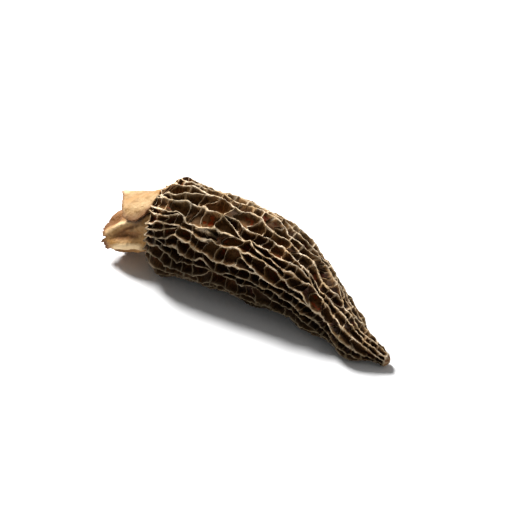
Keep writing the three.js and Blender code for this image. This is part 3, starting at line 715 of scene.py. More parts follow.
def add_pit(surface, crest_data, pit):
    """One pit inside its loop of crests: rings down its ridges' sides, and a floor. Gives back its faces."""
    angle, share, crest_depth, thickness = crest_data[pit.loop].T
    angle = near_angle(angle, angle[0])
    outline = np.column_stack([angle * cap_radius(share), share * CAP_LENGTH])
    centre, to_centre, square = way_to_middle(outline)
    reach = np.linalg.norm(to_centre, axis=1).min()
    fullness = mix(*PIT_FLOOR, chance(pit.row.number, FLOOR_DRAWS + pit.number))
    fullness *= float(smooth(*SMALL_PITS, reach))
    floor = fullness * float(pit_depth(centre[1] / CAP_LENGTH))
    tone = chance(pit.row.number, TONE_DRAWS + pit.number)
    pit_shade = pit_shade_at(reach, centre[1] / CAP_LENGTH)
    rings = [np.array(pit.loop)]
    for inset, down, pale, most, smoothing in RIDGE_PROFILE:
        most = np.minimum(most * np.maximum(1, thickness), most + CREST_WIDENING)
        part = np.minimum(inset * thickness / square, most)[:, None]
        ring = smoothed(outline + part * to_centre, smoothing)
        depth = mix(crest_depth, floor, down)
        ring_share = ring[:, 1] / CAP_LENGTH
        crest = pale * np.minimum(1, CREST_GAIN * thickness)
        ring_angle = ring[:, 0] / cap_radius(ring_share)
        rings.append(surface.add(ring_angle, ring_share, depth, crest, down, tone, pit_shade))
    middle_share = np.array([centre[1] / CAP_LENGTH])
    middle = surface.add(centre[:1] / cap_radius(middle_share), middle_share, floor, 0, 1, tone, pit_shade)
    return [*(band(outer, inner) for outer, inner in zip(rings, rings[1:])), fan(rings[-1], middle[0])]


def add_scars(flat, crest, depth_share):
    """Fills the net where scars have grown over it."""
    for angle, share, length, width in SCARS:
        across = near_angle(flat[:, 0], np.radians(angle)) - np.radians(angle)
        off = np.hypot((flat[:, 1] - share) * CAP_LENGTH / length, across * cap_radius(share) / width)
        fill = SCAR_FILL * (1 - smooth(*SCAR_EDGE, off))
        flat[:, 2] *= 1 - fill
        depth_share *= 1 - fill
        crest[:] = np.maximum(crest, SCAR_PALENESS * fill)


def edge_ring(crests, share):
    """The crest points on the cap's edge at its base or tip, by rising angle."""
    found = [(crests.data[i][0] % TURN, i) for i in crests.edges[share]]
    return np.array([i for _, i in sorted(found)]), np.array([a for a, _ in sorted(found)])


def hollow_radius(share):
    """It widens from the mouth, follows the cap's wall, and closes in a dome."""
    body = cap_radius(share) - pit_depth(share) - WALL
    dome = np.sqrt(np.maximum(0, 1 - (share / HOLLOW_END) ** HOLLOW_BLUNTNESS))
    return mix(MOUTH_RADIUS, body, smooth(0, MOUTH_LENGTH, share)) * dome


def build_cap():
    """The cap in two pieces that meet along ridges' crests: its front rows, and the rest."""
    crests, pits = make_pits()
    surface = Surface()
    crest_data = np.array(crests.data)
    crest_data[:, 3] *= 1 + THICKNESS_SPREAD * noise_along(crest_data)
    crest_data[:, 3] *= along(THICKNESS, crest_data[:, 1])
    pale = np.minimum(CREST_GAIN * crest_data[:, 3], 1)
    surface.add(*crest_data[:, :3].T, pale, 0.0, PLAIN_TONE, PLAIN_PIT_SHADE)
    front, back = [], []
    for pit in pits:
        faces = front if pit.row.widths else back
        faces += add_pit(surface, crest_data, pit)
    flat = np.vstack(surface.place)
    values = [np.concatenate(store) for store in surface.stores()]
    add_scars(flat, *values[:2])
    points = cap_points(*flat.T)
    outline = cap_points(flat[:, 0], flat[:, 1], 0 * flat[:, 2])
    # The painted shade of the underside, by the angle round the cap.
    values.append(np.interp(np.degrees(flat[:, 0]) % 360, *zip(*UNDERSIDE_SHADE)))
    ends = CapEnds(points, values)
    ends.add_base(*edge_ring(crests, 0))
    ends.add_tip(edge_ring(crests, 1)[0])
    outward = cap_points(flat[:, 0], flat[:, 1], np.full(len(flat), -1.0)) - outline
    outline = np.vstack([outline, *ends.rings])
    outward = np.vstack([outward, *(0 * ring for ring in ends.rings)])
    points = crimp(np.vstack([points, *ends.rings]), outward, ends.values[1])
    points[:, 2] = np.maximum(points[:, 2], 0.0)
    attributes = dict(zip(("crest", "depth", "tone", "pit_shade", "underside_shade"), ends.values))
    attributes["outline"] = outline * MM
    return [
        mesh_object("morel_cap_front", points, np.vstack(front), attributes),
        mesh_object("morel_cap_back", points, np.vstack(back + ends.faces), attributes),
    ]


class CapEnds:
    """The cap's base with its mouth and hollow, and the nub at its tip: rings added to the net's points."""

    def __init__(self, points, values):
        self.points, self.values, self.rings, self.faces = points, values, [], []

    def ring(self, positions, crest, depth):
        """Adds points with how pale they are, and how deep as a share of a pit."""
        first = len(self.values[0])
        self.rings.append(positions)
        for k, value in enumerate((crest, depth, PLAIN_TONE, PLAIN_PIT_SHADE, END_UNDERSIDE_SHADE)):
            self.values[k] = np.append(self.values[k], np.broadcast_to(value, len(positions)))
        return np.arange(first, first + len(positions))

    def join(self, outer, inner):
        self.faces.append(band(outer, inner))
        return inner

    def close(self, ring, centre):
        self.faces.append(fan(ring, self.ring(centre, *CENTRE_FINISH)[0]))

    def add_base(self, rim, angles):
        """From the rim in to the mouth, and on down the hollow to its end."""
        def circle(share, radius):
            _, up, side = axes_of(spine, np.array([share]))
            return spine(share) + radius * (up * np.cos(angles)[:, None] + side * np.sin(angles)[:, None])

        last = rim[::-1]
        for part in BASE_RINGS:
            places = mix(self.points[rim], circle(0.0, MOUTH_RADIUS), part)
            last = self.join(last, self.ring(places, *BASE_FINISH)[::-1])
        for k in range(1, HOLLOW_RINGS):
            share = HOLLOW_END * math.sin(0.5 * math.pi * k / HOLLOW_RINGS)
            places = circle(share, float(hollow_radius(share)))
            last = self.join(last, self.ring(places, *HOLLOW_FINISH)[::-1])
        self.close(last, spine(np.array([HOLLOW_END])))

    def add_tip(self, edge):
        """The nub, from the last ridges on."""
        last = edge
        around = self.points[edge] - self.points[edge].mean(0)
        turn = np.linspace(0, TURN, len(edge), endpoint=False)
        deep, dents, dent_twist = NUB_DENTS
        pale, streaks, streak_twist = NUB_STREAKS
        for part, size in NUB:
            dented = size * (1 + deep * part * np.sin(dents * turn + dent_twist * part))[:, None]
            streaked = pale * (1 + np.sin(streaks * turn + streak_twist * part)) * (1 - NUB_FADE * part)
            middle = spine(1 + part * TIP_LENGTH / CAP_LENGTH)
            last = self.join(last, self.ring(middle + dented * around, streaked, NUB_DEPTH))
        self.close(last, spine(np.array([1 + TIP_LENGTH / CAP_LENGTH])))


def noise_along(crest_data):
    """From -1 to 1, varying slowly along the ridges."""
    angle, share = crest_data[:, :2].T
    round_cap, along_cap = THICKNESS_WAVES
    places = np.column_stack([round_cap * np.cos(angle), round_cap * np.sin(angle), along_cap * share])
    return np.array([noise.noise(Vector(p)) for p in places])


def push_at(points, often):
    """From -1 to 1 in each direction, varying smoothly with the place, and alike on every run."""
    starts = [Vector((*start, often)) for start in PUSH_STARTS]
    return np.array([[noise.noise(Vector(p) * often + start) for start in starts] for p in points])


def crimp(points, outward, depth_share):
    """The irregularities of dried flesh: ragged, knobbly crests and wrinkled walls."""
    often, high = HEAVES
    heave = np.array([noise.noise(Vector(p) * often + Vector(HEAVES_START)) for p in points])
    moved = points + outward * (heave * high * (1 - depth_share))[:, None]
    for often_fine, floor, crest in CRIMPS:
        moved += push_at(points, often_fine) * mix(crest, floor, depth_share)[:, None]
    return moved


def mesh_object(name, points, faces, attributes):
    """A smooth-shaded object from points in mm, faces of three or four corners, and values at the points."""
    used, corners = np.unique(faces, return_inverse=True)
    corners = corners.reshape(faces.shape) - int(used[0] < 0)
    used = used[used >= 0]
    quads = corners[corners[:, 3] >= 0]
    triangles = corners[corners[:, 3] < 0][:, :3]
    mesh = bpy.data.meshes.new(name)
    mesh.from_pydata((points[used] * MM).tolist(), [], quads.tolist() + triangles.tolist())
    for key, values in attributes.items():
        of_points = values[used].astype(np.float32)
        if of_points.ndim > 1:
            mesh.attributes.new(key, "FLOAT_VECTOR", "POINT").data.foreach_set("vector", of_points.ravel())
        else:
            mesh.attributes.new(key, "FLOAT", "POINT").data.foreach_set("value", of_points)
    mesh.shade_smooth()
    mesh.validate()
    made = bpy.data.objects.new(name, mesh)
    bpy.context.scene.collection.objects.link(made)
    return made


# ---- the stem ----

# A thin sheet rolled up, whose top flap laps far over the roll below it. Its angles are in degrees round the
# stem, from its top towards -Y.
STEM_GAP = 0.04 # between the cap's base and the stem's end
STEM_RISE = -0.6 # the stem leaves the cap's base this far above its middle
# From the joint: the two handles of its bend, and its cut end.
STEM_COURSE = [(-3.1, -0.7, -0.6), (-6.3, -1.7, -2.6), (-9.6, -3.6, -4.7)]
STEM_HALF_WIDTH = [5.4, 5.8, 5.8, 5.4, 4.5]
STEM_TOP = [6.25, 4.5, 3.9, 3.3, 3.2] # from its course up to the sheet
STEM_BELLY = [5.2, 5.2, 5.0, 4.3, 3.4] # and down to it
STEM_WALL = 0.8
STEM_TURN = 0.35 # the share of its length over which its section turns from the cap's upright to its own
SHEET_START, SHEET_END = -50.0, 392.0 # the hidden edge under the flap, and the flap's free edge at the cap
# How far the sheet reaches, as shares of the stem's length, every SHEET_STEP degrees from SHEET_FROM.
SHEET_FROM, SHEET_STEP = -60, 30
SHEET_REACH = [
    0.9, 0.91, 0.98, 1.01, 1.06, 1.05, 0.99, 0.95, 0.93,
    0.93, 0.97, 0.97, 0.81, 0.65, 0.5, 0.43, 0.41,
]
# The cut end's unevenness in the same shares: height, how many go round, and phase.
RAGGED_EDGE = [(0.02, 3, 1), (0.012, 8, 0)]
FRAYED_EDGE = [(0.012, 23, 2), (0.008, 41, 0)]
NOTCH_ANGLE, NOTCH_WIDTH, NOTCH_DEPTH = 50.0, 5.0, 0.1 # a nick in that end
FLAP_BELLY = 14.0 # the flap's free edge bulges this many degrees further at its middle
FLAP_FROM = 296.0 # the flap is the sheet past this angle
FLAP_CALM = (0.7, 20) # how much of the unevenness it lacks, and the degrees over which it is lost
FLAP_LIFT = (1.35, 3.8) # how far it stands outside the roll: at the cap, and more by the share squared
LIFT_LAP = 8 # degrees past the sheet's start where it has all of that
# Waves in the sheet: height, how many go round, their lean over the stem's length, and phase.
FOLDS = [(0.2, 3, 5, 0.5), (0.1, 7, -6, 2)]
SMOOTH_ROOT = 0.25 # the share of the length over which folds and hollows grow
# Hollows of the shrunken sheet: angle and share of the length at the middle, half of each one's width in
# degrees and of its length as a share, how many degrees it turns along the stem, and its depth. A negative
# depth swells.
HOLLOWS = [
    (70, 0.52, 13, 0.28, -25, 1.3),
    (40, 0.45, 10, 0.3, -20, -0.6),
    (0, 0.85, 24, 0.2, 0, 0.8),
    (98, 0.6, 11, 0.3, -10, -0.5),
    (118, 0.7, 9, 0.3, 0, 0.6),
    (366, 0.22, 12, 0.12, 0, 0.35),
    (51, 0.35, 6, 0.4, 0, 0.5),
    (338, 0.3, 14, 0.15, 0, 0.3),
    (215, 0.5, 16, 0.3, 10, 0.9),
    (262, 0.6, 12, 0.3, 0, 0.7),
]
RIM_CURL = 0.5 # how far the cut end's rim draws in
CURL_FROM = (0.85, 1.05) # the shares of the length where that begins, and where it is all there
BUCKLES = [(0.6, 0.24), (1.7, 0.08)] # of the sheet: how many a mm, and how high
SUNK_DEPTH = 1.1 # at which a hollow's painted shade is darkest
# The painted shadow that the flap casts, a dark line under its free edge: half its width and how far back it
# lies, in degrees, and the share of the length over which it ends.
SHADE_WIDTH, SHADE_BACK, SHADE_END = 6, 1, 0.06
LOBE_ANGLES, LOBE_SHARES = (22, 40), (0.4, 0.5) # over which the lobe's browner colour and painted shade ends, and along which it begins
BELLY_STARTS, BELLY_ENDS = (100, 135), (190, 240) # the angles over which the belly's browner colour and painted shade begins and ends
BELLY_BROWN_AND_SHADE = 0.7 # as a share of the lobe's
PALE_FLAP = (30, 20) # degrees before and after the flap's start, over which it turns pale out of the roll's browner colour and painted shade
EDGE_FINENESS = (28, 12) # how many times a dark edge fits across the sheet, and along it
SHEET_COLUMNS, SHEET_RINGS = 300, 70


def stem_path(share):
    """The stem's course, from the cap's base to the cut end."""
    forward, up, _ = axes_of(spine, np.array([0.0]))
    joint = spine(0.0) - forward[0] * STEM_GAP + up[0] * STEM_RISE
    share = np.asarray(share, float)[..., None]
    a, b, c = (joint + np.array(offset) for offset in STEM_COURSE)
    rest = 1 - share
    return joint * rest**3 + 3 * a * share * rest**2 + 3 * b * share**2 * rest + c * share**3


def stem_axes(at):
    """Upward and sideways: the cap's at its root, and then its own."""
    _, root_up, root_side = axes_of(spine, np.array([0.0]))
    _, own_up, own_side = axes_of(stem_path, at)
    turn = smooth(0, STEM_TURN, at)[..., None]
    up = unit(mix(root_up, own_up, turn))
    side = mix(-root_side, own_side, turn)
    side = unit(side - up * (side * up).sum(-1, keepdims=True))
    return up, side


def edge_waves(table, turn):
    return sum(high * np.sin(count * turn + phase) for high, count, phase in table)


def sheet_reach(degrees):
    """Where the sheet's cut end is, as a share of the stem's length."""
    reach = along(SHEET_REACH, (degrees - SHEET_FROM) / (SHEET_STEP * (len(SHEET_REACH) - 1)))
    turn = np.radians(degrees)
    calm, calmed_over = FLAP_CALM
    torn = 1 - calm * smooth(FLAP_FROM, FLAP_FROM + calmed_over, degrees)
    notch = NOTCH_DEPTH * np.exp(-(((degrees - NOTCH_ANGLE) / NOTCH_WIDTH) ** 2))
    return reach + torn * (edge_waves(RAGGED_EDGE, turn) + edge_waves(FRAYED_EDGE, turn)) - notch


def creases(degrees, share):
    """How far the sheet swells out, from its folds and hollows."""
    turn = np.radians(degrees)
    folds = sum(high * np.sin(count * turn + lean * share + phase) for high, count, lean, phase in FOLDS)
    for angle, middle, width, length, turning, depth in HOLLOWS:
        off = degrees - angle - turning * (share - middle)
        folds = folds - depth * np.exp(-((off / width) ** 2) - ((share - middle) / length) ** 2)
    return smooth(0, SMOOTH_ROOT, share) * folds - RIM_CURL * smooth(*CURL_FROM, share)


def sheet_place(across, share):
    """Where a point of the sheet lies round the stem and along it."""
    degrees = mix(SHEET_START, SHEET_END + FLAP_BELLY * np.sin(np.pi * share), across)
    return degrees, share * sheet_reach(degrees)


def sheet_points(across, share, inward):
    """Points of the sheet, by shares across and along it and a depth below its outer side."""
    degrees, at = sheet_place(across, share)
    up, side = stem_axes(at)
    lift = (FLAP_LIFT[0] + FLAP_LIFT[1] * at**2) * smooth(FLAP_FROM, 360 + SHEET_START + LIFT_LAP, degrees)
    out = lift + creases(degrees, at) - inward
    turn = np.radians(degrees)
    half_height = np.where(np.cos(turn) > 0, along(STEM_TOP, at), along(STEM_BELLY, at))
    high = (half_height + out) * np.cos(turn)
    wide = -(along(STEM_HALF_WIDTH, at) + out) * np.sin(turn)
    return stem_path(at) + up * high[..., None] + side * wide[..., None]


def under_flap(degrees, at):
    """The painted shadow of the flap: 1 right below its free edge, and less away from it."""
    reach = SHEET_REACH[-1]
    edge = SHEET_END - 360 + FLAP_BELLY * np.sin(np.pi * np.minimum(at / reach, 1))
    off = (degrees - edge + SHADE_BACK) / SHADE_WIDTH
    return np.exp(-(off**2)) * (1 - smooth(reach, reach + SHADE_END, at))


def browning_and_shade(degrees, at):
    """1 on the bare lobe behind the flap, and less on the belly: browner there, partly the flesh's own
    colour and partly painted shade.
    """
    lobe = (1 - smooth(*LOBE_ANGLES, degrees)) * smooth(*LOBE_SHARES, at)
    belly = smooth(*BELLY_STARTS, degrees) * (1 - smooth(*BELLY_ENDS, degrees))
    return np.maximum(lobe, BELLY_BROWN_AND_SHADE * belly)


def sheet_finish(across, share):
    """What the stem's finish needs to know of the sheet, on either side of it."""
    degrees, at = sheet_place(across, share)
    to_side, to_cut = np.minimum(across, 1 - across), 1 - share
    before, after = PALE_FLAP
    return {
        "edge": 1 - np.minimum(to_side * EDGE_FINENESS[0], to_cut * EDGE_FINENESS[1]).clip(0, 1),
        "flap": smooth(FLAP_FROM - before, FLAP_FROM + after, degrees),
        "sunk": np.clip(-creases(degrees, at) / SUNK_DEPTH, -1, 1),
        "shade": under_flap(degrees, at),
        "brown_and_shade": browning_and_shade(degrees, at),
    }


def build_stem():
    """The rolled sheet, closed along all its edges."""
    stations = np.linspace(0, 1, SHEET_COLUMNS), np.linspace(0, 1, SHEET_RINGS)
    across, share = np.meshgrid(*stations, indexing="ij")
    sheets = [sheet_points(across, share, inward).reshape(-1, 3) for inward in (0, STEM_WALL)]
    index = np.arange(across.size).reshape(across.shape)
    outer, inner = index, index + across.size

    def quads(a, b, c, d):
        return np.column_stack([x.ravel() for x in (a, b, c, d)])

    faces = [
        quads(outer[:-1, :-1], outer[:-1, 1:], outer[1:, 1:], outer[1:, :-1]),
        quads(inner[:-1, :-1], inner[1:, :-1], inner[1:, 1:], inner[:-1, 1:]),
        quads(outer[:-1, 0], outer[1:, 0], inner[1:, 0], inner[:-1, 0]),
        quads(outer[1:, -1], outer[:-1, -1], inner[:-1, -1], inner[1:, -1]),
        quads(outer[0, :-1], inner[0, :-1], inner[0, 1:], outer[0, 1:]),
        quads(outer[-1, 1:], inner[-1, 1:], inner[-1, :-1], outer[-1, :-1]),
    ]
    points = np.vstack(sheets)
    points += sum(high * push_at(points, often) for often, high in BUCKLES)
    points[:, 2] = np.maximum(points[:, 2], 0.0)
    attributes = {"inside": np.repeat([0.0, 1.0], across.size)}
    for key, value in sheet_finish(across, share).items():
        attributes[key] = np.tile(value.ravel(), 2)
    return mesh_object("morel_stem", points, np.vstack(faces), attributes)


# ---- finishes: colours in sRGB from 0 to 255, and noise scales in waves a metre ----

# Every tint is a colour and how much of it there is at most. Patches are given by their scale, the noise at
# which they begin and are full, and the noise's detail where it isn't the usual one.
# The walls' colour by depth: darker just below the crests as their painted shade, lighter on the floors as
# painted light.
PIT_WALL = [(0.0, (104, 76, 42)), (0.3, (70, 44, 20)), (0.7, (88, 54, 24)), (1.0, (118, 74, 32))] # by depth
STREAKS = (2600.0, 3.0, 0.6) # on the walls: the noise's scale, detail and roughness
STREAK_DRIFT = 0.2 # how far they change down a wall, as a share of how they change along it
STREAK_RANGE = (0.45, 0.68) # the noise at which they begin and are full
STREAK_TINT = ((150, 110, 62), 0.55)
STREAK_HEIGHT = 1.5
# Paler wall patches: partly bleaching of the flesh, partly painted light on the lit walls of the upper
# front.
BLEACHED_AND_LIT_TINT = ((176, 134, 88), 1.0)
BLEACHED_AND_LIT_PATCHES = (300.0, 0.48, 0.6)
BLEACHING_AND_LIGHT = (0.55, 0.5) # how much of it there is, and how much less where the underside's shade is painted
RUST_TINT = ((164, 62, 10), 0.9)
RUST_PATCHES = (900.0, 0.5, 0.6, 2.0)
RUST_TONES, RUST_DEPTHS = (0.35, 0.75), (0.4, 0.8) # the pits that have rust, and how far down
GREY_PATCHES = (130.0, 0.48, 0.66, 2.0)
GREY_WALL_TINT, GREY_CREST_TINT = ((62, 56, 36), 0.4), ((150, 136, 110), 0.5)
# The next two multiply the wall's colour: painted shade of the underside, and painted shade inside the pits.
UNDERSIDE_SHADE_WALL_TINT = ((160, 150, 136), 1.0)
PIT_SHADE_TINT = ((88, 79, 72), 1.0)
PIT_SHADE_DEPTHS = (0.1, 0.7) # it begins and is full this far down
CREST_DARK, CREST_PALE = (200, 169, 126), (255, 233, 202)
# Painted shade of the underside, over the crests.
UNDERSIDE_SHADE_CREST_TINT = ((82, 72, 54), 0.85)
WORN_PATCHES = (620.0, 0.52, 0.72)
WORN_AWAY = 0.45 # how much of a crest's paleness they take
CAP_ROUGHNESS = (0.62, 0.15) # of the walls, and how much more on the crests
CAP_SHEEN = 0.06
CAP_FLESH = {"Wrinkle scale": 1100.0, "Grain scale": 5200.0, "Grain share": 0.3, "Mottle scale": 420.0}
CAP_BUMP = (0.00007, 0.6) # the distance in metres, and the strength

SKIN_DARK, SKIN_PALE = (152, 115, 64), (194, 163, 120)
SKIN_PATCH_TINT = ((162, 114, 54), 0.7)
SKIN_PATCHES = (160.0, 0.48, 0.72)
# Browner off the flap: partly the roll's own colour, partly painted shade of the lower roll.
OFF_FLAP_BROWN_AND_SHADE_TINT = ((150, 102, 36), 0.5)
BROWN_AND_SHADE_TINT = ((134, 88, 38), 0.85)
# Painted shade in the sheet's hollows, and a painted highlight on its swellings.
SUNK_SHADE_TINT, RAISED_HIGHLIGHT_TINT = ((106, 62, 8), 0.85), ((250, 220, 172), 0.75)
SUNK_RANGE, RAISED_RANGE = (0.0, 0.65), (-0.02, -0.4) # how sunk the skin is where they begin and are full
INSIDE_TINT = ((132, 82, 34), 0.6)
EDGE_TINT = ((104, 60, 22), 0.9)
# Painted shadow under the flap's free edge.
SHADE_TINT = ((58, 32, 8), 0.9)
STEM_ROUGHNESS = (0.62, 0.1) # of its dark skin, and how much more on pale skin
STEM_SHEEN = 0.3
STEM_FLESH = {"Wrinkle scale": 800.0, "Grain scale": 2600.0, "Grain share": 0.3, "Mottle scale": 260.0}
STEM_BUMP = (0.00035, 0.85)
MOTTLE_RANGE = (0.32, 0.68) # the noise at which flesh is darkest and palest


def rgb(r, g, b):
    """A colour for a socket."""
    shares = [c / 255 for c in (r, g, b)]
    return (*(c / 12.92 if c <= 0.04045 else ((c + 0.055) / 1.055) ** 2.4 for c in shares), 1.0)


class Tree:
    """Short calls for a material's or a group's nodes."""

    def __init__(self, tree):
        self.tree = tree

    def node(self, kind, values=None, **settings):
        made = self.tree.nodes.new(kind)
        for key, value in settings.items():
            setattr(made, key, value)
        for key, value in (values or {}).items():
            if isinstance(value, bpy.types.NodeSocket):
                self.tree.links.new(value, made.inputs[key])
            else:
                made.inputs[key].default_value = value
        return made

    def math(self, operation, a, b=0.0, clamp=False):
        return self.node("ShaderNodeMath", {0: a, 1: b}, operation=operation, use_clamp=clamp).outputs[0]

    def noise(self, vector, scale, detail=3.0, roughness=0.5):
        values = {"Vector": vector, "Scale": scale, "Detail": detail, "Roughness": roughness}
        return self.node("ShaderNodeTexNoise", values).outputs["Fac"]

    def attribute(self, name):
        return self.node("ShaderNodeAttribute", attribute_name=name).outputs["Fac"]

    def mixed(self, share, a, b, blend="MIX"):
        made = self.node("ShaderNodeMix", {"Factor": share}, data_type="RGBA", blend_type=blend)
        for socket, value in ((made.inputs[6], a), (made.inputs[7], b)):
            if isinstance(value, bpy.types.NodeSocket):
                self.tree.links.new(value, socket)
            else:
                socket.default_value = value
        return made.outputs[2]

    def tinted(self, base, tint, mask, blend="MIX"):
        """The base with a tint over it, as far as the mask says."""
        colour, most = tint
        share = self.math("MULTIPLY", mask, most) if most < 1 else mask
        return self.mixed(share, base, rgb(*colour), blend)

    def ramp(self, share, stops):
        """Colours by where they stand."""
        made = self.node("ShaderNodeValToRGB", {"Fac": share})
        elements = made.color_ramp.elements
        while len(elements) < len(stops):
            elements.new(0.5)
        for element, (position, colour) in zip(elements, stops):
            element.position = position
            element.color = rgb(*colour)
        return made.outputs["Color"]

    def band(self, value, low, high):
        """From 0 at low to 1 at high."""
        values = {"Value": value, "From Min": low, "From Max": high}
        return self.node("ShaderNodeMapRange", values, interpolation_type="SMOOTHSTEP").outputs["Result"]

    def patches(self, place, scale, low, high, detail=3.0):
        """Soft-edged patches of 1 in 0."""
        return self.band(self.noise(place, scale, detail), low, high)

    def group(self, tree, values):
        made = self.node("ShaderNodeGroup", node_tree=tree)
        for key, value in values.items():
            made.inputs[key].default_value = value
        return made.outputs


def dried_flesh_group():
    """Wrinkles and mottling of dried flesh. Puts out a height for bump, and a mottle from 0 to 1."""
    group = bpy.data.node_groups.new("Dried flesh", "ShaderNodeTree")
    for name in ("Wrinkle scale", "Grain scale", "Grain share", "Mottle scale"):
        group.interface.new_socket(name, in_out="INPUT", socket_type="NodeSocketFloat")
    for name in ("Height", "Mottle"):
        group.interface.new_socket(name, in_out="OUTPUT", socket_type="NodeSocketFloat")
    t = Tree(group)
    given = t.node("NodeGroupInput").outputs
    place = t.node("ShaderNodeTexCoord").outputs["Object"]
    wrinkles = t.noise(place, given["Wrinkle scale"], 4.0, 0.6)
    ridged = t.math("ABSOLUTE", t.math("SUBTRACT", wrinkles, 0.5))
    grain = t.noise(place, given["Grain scale"], 2.0, 0.6)
    height = t.math("ADD", t.math("MULTIPLY", ridged, 2.0), t.math("MULTIPLY", grain, given["Grain share"]))
    mottle = t.band(t.noise(place, given["Mottle scale"], 4.0, 0.65), *MOTTLE_RANGE)
    out = t.node("NodeGroupOutput")
    group.links.new(height, out.inputs["Height"])
    group.links.new(mottle, out.inputs["Mottle"])
    return group


def new_material(name):
    """A material with its own short calls and its shader."""
    material = bpy.data.materials.new(name)
    material.use_nodes = True
    t = Tree(material.node_tree)
    shader = material.node_tree.nodes["Principled BSDF"]
    return material, t, shader


def connect(t, shader, colour, roughness, height, bump):
    """Feeds a finish into its shader, with its height as bump."""
    distance, strength = bump
    relief = t.node("ShaderNodeBump", {"Height": height, "Distance": distance, "Strength": strength})
    t.tree.links.new(colour, shader.inputs["Base Color"])
    t.tree.links.new(roughness, shader.inputs["Roughness"])
    t.tree.links.new(relief.outputs["Normal"], shader.inputs["Normal"])


def cap_material(flesh):
    """Brown walls and floors, streaked and blotched, under pale worn crests; with painted shade in the pits
    and on the underside, and painted light on the upper walls and on the floors.
    """
    material, t, shader = new_material("dried_cap")
    crest, depth, tone, underside_shade = (t.attribute(name) for name in ("crest", "depth", "tone", "underside_shade"))
    place = t.node("ShaderNodeTexCoord").outputs["Object"]
    dried = t.group(flesh, CAP_FLESH)
    # Streaks that run down the walls: the place on the outline, and hardly the depth, tells them apart.
    outline = t.node("ShaderNodeAttribute", attribute_name="outline").outputs["Vector"]
    drift = {0: place, "Scale": STREAK_DRIFT}
    down = t.node("ShaderNodeVectorMath", drift, operation="SCALE").outputs["Vector"]
    streaked = t.node("ShaderNodeVectorMath", {0: outline, 1: down}, operation="ADD").outputs["Vector"]
    streaks = t.noise(streaked, *STREAKS)
    wall = t.tinted(t.ramp(depth, PIT_WALL), STREAK_TINT, t.band(streaks, *STREAK_RANGE))
    # Paler wall patches, partly bleaching and partly painted light, which fade where the underside's shade
    # is painted.
    most_bleached_and_lit, less_in_shade = BLEACHING_AND_LIGHT
    bleach_outside_shade = t.math("SUBTRACT", most_bleached_and_lit, t.math("MULTIPLY", underside_shade, less_in_shade))
    bleached_and_lit = t.math("MULTIPLY", t.patches(place, *BLEACHED_AND_LIT_PATCHES), bleach_outside_shade)
    wall = t.tinted(wall, BLEACHED_AND_LIT_TINT, bleached_and_lit)
    rust = t.math("MULTIPLY", t.band(tone, *RUST_TONES), t.band(depth, *RUST_DEPTHS))
    rust = t.math("MULTIPLY", rust, t.patches(place, *RUST_PATCHES))
    wall = t.tinted(wall, RUST_TINT, rust)
    grey = t.patches(place, *GREY_PATCHES)
    wall = t.tinted(wall, GREY_WALL_TINT, grey)
    # Painted shade of the underside, darker towards the belly.
    wall = t.tinted(wall, UNDERSIDE_SHADE_WALL_TINT, underside_shade, blend="MULTIPLY")
    # Painted shade deep inside the pits, most in narrow ones.
    pit_shade = t.math("MULTIPLY", t.attribute("pit_shade"), t.band(depth, *PIT_SHADE_DEPTHS))
    wall = t.tinted(wall, PIT_SHADE_TINT, pit_shade, blend="MULTIPLY")
    pale = t.mixed(dried["Mottle"], rgb(*CREST_DARK), rgb(*CREST_PALE))
    pale = t.tinted(pale, GREY_CREST_TINT, grey)
    worn = t.math("MULTIPLY", t.patches(place, *WORN_PATCHES), WORN_AWAY)
    # Painted shade of the underside over the crests, too.
    pale = t.tinted(pale, UNDERSIDE_SHADE_CREST_TINT, underside_shade)
    colour = t.mixed(t.math("SUBTRACT", crest, worn, clamp=True), wall, pale)
    roughness = t.math("ADD", CAP_ROUGHNESS[0], t.math("MULTIPLY", crest, CAP_ROUGHNESS[1]))
    shader.inputs["Specular IOR Level"].default_value = CAP_SHEEN
    height = t.math("ADD", dried["Height"], t.math("MULTIPLY", streaks, STREAK_HEIGHT))
    connect(t, shader, colour, roughness, height, CAP_BUMP)
    return material


def stem_material(flesh):
    """Pale papery skin, darker where it is torn, with painted shade in its hollows, off the flap and on the
    lobe and belly, a painted shadow under the flap's free edge, and painted highlights on its swellings.
    """
    material, t, shader = new_material("dried_stem")
    edge, inside = t.attribute("edge"), t.attribute("inside")
    place = t.node("ShaderNodeTexCoord").outputs["Object"]
    dried = t.group(flesh, STEM_FLESH)
    skin = t.mixed(dried["Mottle"], rgb(*SKIN_DARK), rgb(*SKIN_PALE))
    skin = t.tinted(skin, SKIN_PATCH_TINT, t.patches(place, *SKIN_PATCHES))
    # Off the flap the lower roll is browner: partly its own colour, partly painted shade.
    off_flap = t.math("SUBTRACT", 1.0, t.attribute("flap"))
    skin = t.tinted(skin, OFF_FLAP_BROWN_AND_SHADE_TINT, off_flap)
    sunk = t.attribute("sunk")
    # Browner lobe and belly: partly their own colour, partly painted shade.
    skin = t.tinted(skin, BROWN_AND_SHADE_TINT, t.attribute("brown_and_shade"))
    # Painted shade in the hollows, and a painted highlight on the swellings.
    skin = t.tinted(skin, SUNK_SHADE_TINT, t.band(sunk, *SUNK_RANGE))
    skin = t.tinted(skin, RAISED_HIGHLIGHT_TINT, t.band(sunk, *RAISED_RANGE))
    skin = t.tinted(skin, INSIDE_TINT, inside)
    skin = t.tinted(skin, EDGE_TINT, edge)
    # The painted shadow under the flap's free edge.
    skin = t.tinted(skin, SHADE_TINT, t.attribute("shade"))
    shader.inputs["Specular IOR Level"].default_value = STEM_SHEEN
    roughness = t.math("ADD", STEM_ROUGHNESS[0], t.math("MULTIPLY", dried["Mottle"], STEM_ROUGHNESS[1]))
    connect(t, shader, skin, roughness, dried["Height"], STEM_BUMP)
    return material


# ---- the studio ----

